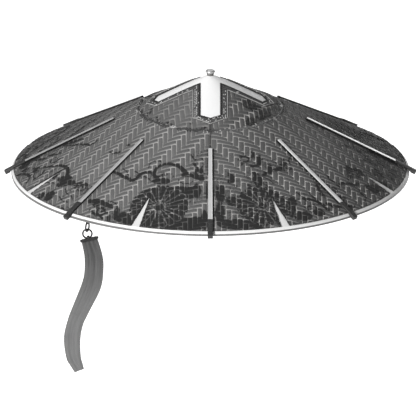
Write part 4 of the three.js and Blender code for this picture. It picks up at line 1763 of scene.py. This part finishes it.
# %% The clamp
CLAMP_TILT = math.radians(13.2)
CLAMP_MIDDLE = (2.37, -23.46)
BAR_LONG, BAR_TALL, BAR_DEEP = 19.4, 3.6, 4.0
BAR_CUTS, BAR_BEVEL = (-0.36, -0.12, 0.12, 0.36), 0.7
BALL_RADIUS, BALL_OUT = 1.4, 10.6
BALL_SHAPE = (0.9, 1, 1.45)
LOOP_SECTION = ((-2.4, 1.75), (2.4, 1.75), (2.0, 2.75), (-2.0, 2.75))
LOOP_SHIFT, LOOP_RISE = -0.6, 2.3
LOOP_DEPTH, LOOP_REACH, LOOP_WIDTHS = 0.75, (-2.8, 2.8), (1.30, 0.85)


def clamp_bar():
    """The folded plate that grips the cloth: a bar with rounded edges, in mm."""
    choose()
    bpy.ops.mesh.primitive_cube_add(size=1)
    piece = named("clamp")
    edit(piece)
    bpy.ops.transform.resize(value=(BAR_LONG, BAR_DEEP, BAR_TALL))
    done()
    finish_modifier(piece, "BEVEL", width=BAR_BEVEL, segments=3)
    cut_across(piece, 0, [share * BAR_LONG for share in BAR_CUTS])
    return piece


def clamp_loop():
    """The loop on the bar, narrower at its top, through which the lower ring passes."""
    section = [(0, across, reach) for across, reach in LOOP_SECTION]
    piece = new_piece("loop", section, edges=[(0, 1), (1, 2), (2, 3), (3, 0)])
    edit(piece)
    bpy.ops.mesh.spin(steps=32, angle=2 * math.pi, center=(0, 0, 0), axis=(0, 1, 0))
    done()
    x, y, z = points_of(piece).T
    across = y * LOOP_DEPTH * np.interp(z, LOOP_REACH, LOOP_WIDTHS)
    move_points(piece, np.column_stack([across + LOOP_SHIFT, x, z + LOOP_RISE]))
    outward(piece)
    return piece


def clamp_ball(side):
    choose()
    bpy.ops.mesh.primitive_uv_sphere_add(radius=BALL_RADIUS, segments=24, ring_count=14)
    ball = named("ball")
    edit(ball)
    bpy.ops.transform.resize(value=BALL_SHAPE)
    bpy.ops.transform.translate(value=(side * BALL_OUT, 0, 0))
    done()
    return ball


clamp, *others = [clamp_bar(), clamp_loop(), clamp_ball(-1), clamp_ball(1)]
choose(clamp)
for part in others:
    part.select_set(True)
bpy.ops.object.join()
clamp_x, clamp_y, clamp_z = points_of(clamp).T
clamp_x, clamp_z = turned(clamp_x, clamp_z, CLAMP_TILT)
clamp_at = (HANG_X + CLAMP_MIDDLE[0], HANG_Y, RIM_HEIGHT + CLAMP_MIDDLE[1])
move_points(clamp, (np.column_stack([clamp_x, clamp_y, clamp_z]) + clamp_at) * MM)
belongs(clamp, 35, DARK_WIRE, "dark_wire", "ribbon_clamp")

# %% [markdown]
# ## The ribbon
#
# A soft grey ribbon hangs from the clamp and swings a little to the left, with loose
# folds along its length. It is one sheet of cloth: a grid laid between its two edges,
# with the folds growing below the clamp, then given the cloth's thickness.

# %% The ribbon's edges and folds
RIBBON_EDGES = [
    ((-7.0, 28.6), (13.6, 25.5)),
    ((-3.7, 46.2), (18.9, 44.9)),
    ((-3.6, 66.3), (20.2, 62.7)),
    ((-6.8, 82.1), (16.9, 88.5)),
    ((-17.3, 109.5), (1.9, 120.2)),
    ((-24.7, 129.5), (-5.4, 136.2)),
    ((-29.5, 153.2), (-8.7, 154.7)),
    ((-26.6, 179.2), (-8.3, 176.6)),
    ((-20.9, 191.1), (-5.9, 187.8)),
    ((-15.8, 199.7), (-4.2, 195.0)),
]
RIBBON_TOP = 9.5
RIBBON_ACROSS = 44
RIBBON_DOWN = 220
CLOTH_THICK = 0.7
HEM = 1.2
FOLDS = ((0.75, 1.6, 0.3, 0.0), (0.35, 3.4, -0.5, 0.2))
FINE_FOLDS, SWAY, GATHERS = 0.15, 2.5, 0.45
LOOSE_FROM, LOOSE_TO = 0.03, 0.19
CALM_FROM, CALM_TO, CALM_SHARE = 0.25, 0.55, 0.7
THREAD_TURN = 2 * math.pi / 0.75


def ribbon_cloth():
    """Soft grey cloth: a fine plain weave, faded lengthwise streaks, darker towards its top."""
    cloth = Finish("ribbon cloth", Sheen_Weight=0.25, Specular_IOR_Level=0.2)
    along, across = cloth.noted("along"), cloth.noted("across")
    weave = (along * THREAD_TURN).wave() * (across * THREAD_TURN).wave()
    streaks = cloth.cloud(cloth.joined(across * 0.45, along * 0.02), 1.0, 4, 0.6)
    soil = cloth.cloud(cloth.place(), 0.05, 3)
    fade = along.step(0, 115)
    tone = cloth.blend(fade, grey(0.035), grey(0.114))
    tone = cloth.blend(streaks.step(0.35, 0.7) * (0.10 + 0.14 * fade), tone, grey(0.190))
    tone = cloth.blend(soil.step(0.5, 0.75) * 0.3, tone, grey(0.085))
    tone = cloth.blend((0.5 - 0.5 * weave) * 0.16, tone, grey(0.05))
    cloth.colour(cloth.blend(cloth.noted("hem") * 0.4, tone, grey(0.07)))
    cloth.rough(0.82 + 0.12 * streaks)
    cloth.relief(weave + 0.8 * streaks, 0.16, 0.6)
    return cloth.material


def cloth_folds(across, down):
    """How far the cloth stands out, in mm: folds, a sway, and the gathers at the clamp."""
    loose = ramp(down, LOOSE_FROM, LOOSE_TO) ** 1.5
    calm = 1 - CALM_SHARE * ramp(down, CALM_FROM, CALM_TO)
    folds = 0
    for depth, count, drift, start in FOLDS:
        folds = folds + depth * np.cos(2 * math.pi * (count * across + drift * down + start))
    fine = np.sin(2 * math.pi * (6.3 * across + 0.9 * down)) * np.sin(2 * math.pi * 2.3 * down + 1)
    folds = calm * (folds + FINE_FOLDS * fine) + SWAY * np.sin(2 * math.pi * down)
    return loose * folds + (1 - loose) * GATHERS * np.cos(8 * math.pi * across)


def ribbon_edge(side):
    """One edge of the ribbon, from the clamp down: 0 for the left one, 1 for the right."""
    half = (2 * side - 1) * RIBBON_TOP
    dx, dy = turned(half, 0, CLAMP_TILT)
    start = (CLAMP_MIDDLE[0] + dx, CLAMP_MIDDLE[1] + dy)
    points = [start] + [(row[side][0], -row[side][1]) for row in RIBBON_EDGES]
    return curve_through(points, RIBBON_DOWN // len(RIBBON_EDGES))


def ribbon_sheet():
    left, right = ribbon_edge(0), ribbon_edge(1)
    across = np.linspace(0, 1, RIBBON_ACROSS + 1)[None]
    down = np.linspace(0, 1, len(left))[:, None]
    spots = left[:, None] * (1 - across[..., None]) + right[:, None] * across[..., None]
    x, z = spots[..., 0] + HANG_X, spots[..., 1] + RIM_HEIGHT
    y = cloth_folds(across, down) + HANG_Y
    places = np.stack([x, y, z], axis=2).reshape(-1, 3) * MM
    sheet = new_piece("ribbon_sheet", places, grid_faces(np.arange(x.size).reshape(x.shape)).tolist())
    steps = np.linalg.norm(np.diff((left + right) / 2, axis=0), axis=1)
    fall = np.concatenate([[0], np.cumsum(steps)])
    width = np.linalg.norm(right - left, axis=1)[:, None]
    note(sheet, "along", np.repeat(fall, RIBBON_ACROSS + 1))
    note(sheet, "across", (across * width).ravel())
    note(sheet, "hem", (1 - ramp(np.minimum(across, 1 - across) * width, 0, HEM)).ravel())
    print("ribbon is", round(float(fall[-1]), 1), "mm long, mean width", round(float(width.mean()), 1))
    return sheet


ribbon = ribbon_sheet()
finish_modifier(ribbon, "SOLIDIFY", thickness=CLOTH_THICK * MM, offset=0)
belongs(ribbon, 60, ribbon_cloth(), "ribbon_cloth", "ribbon")
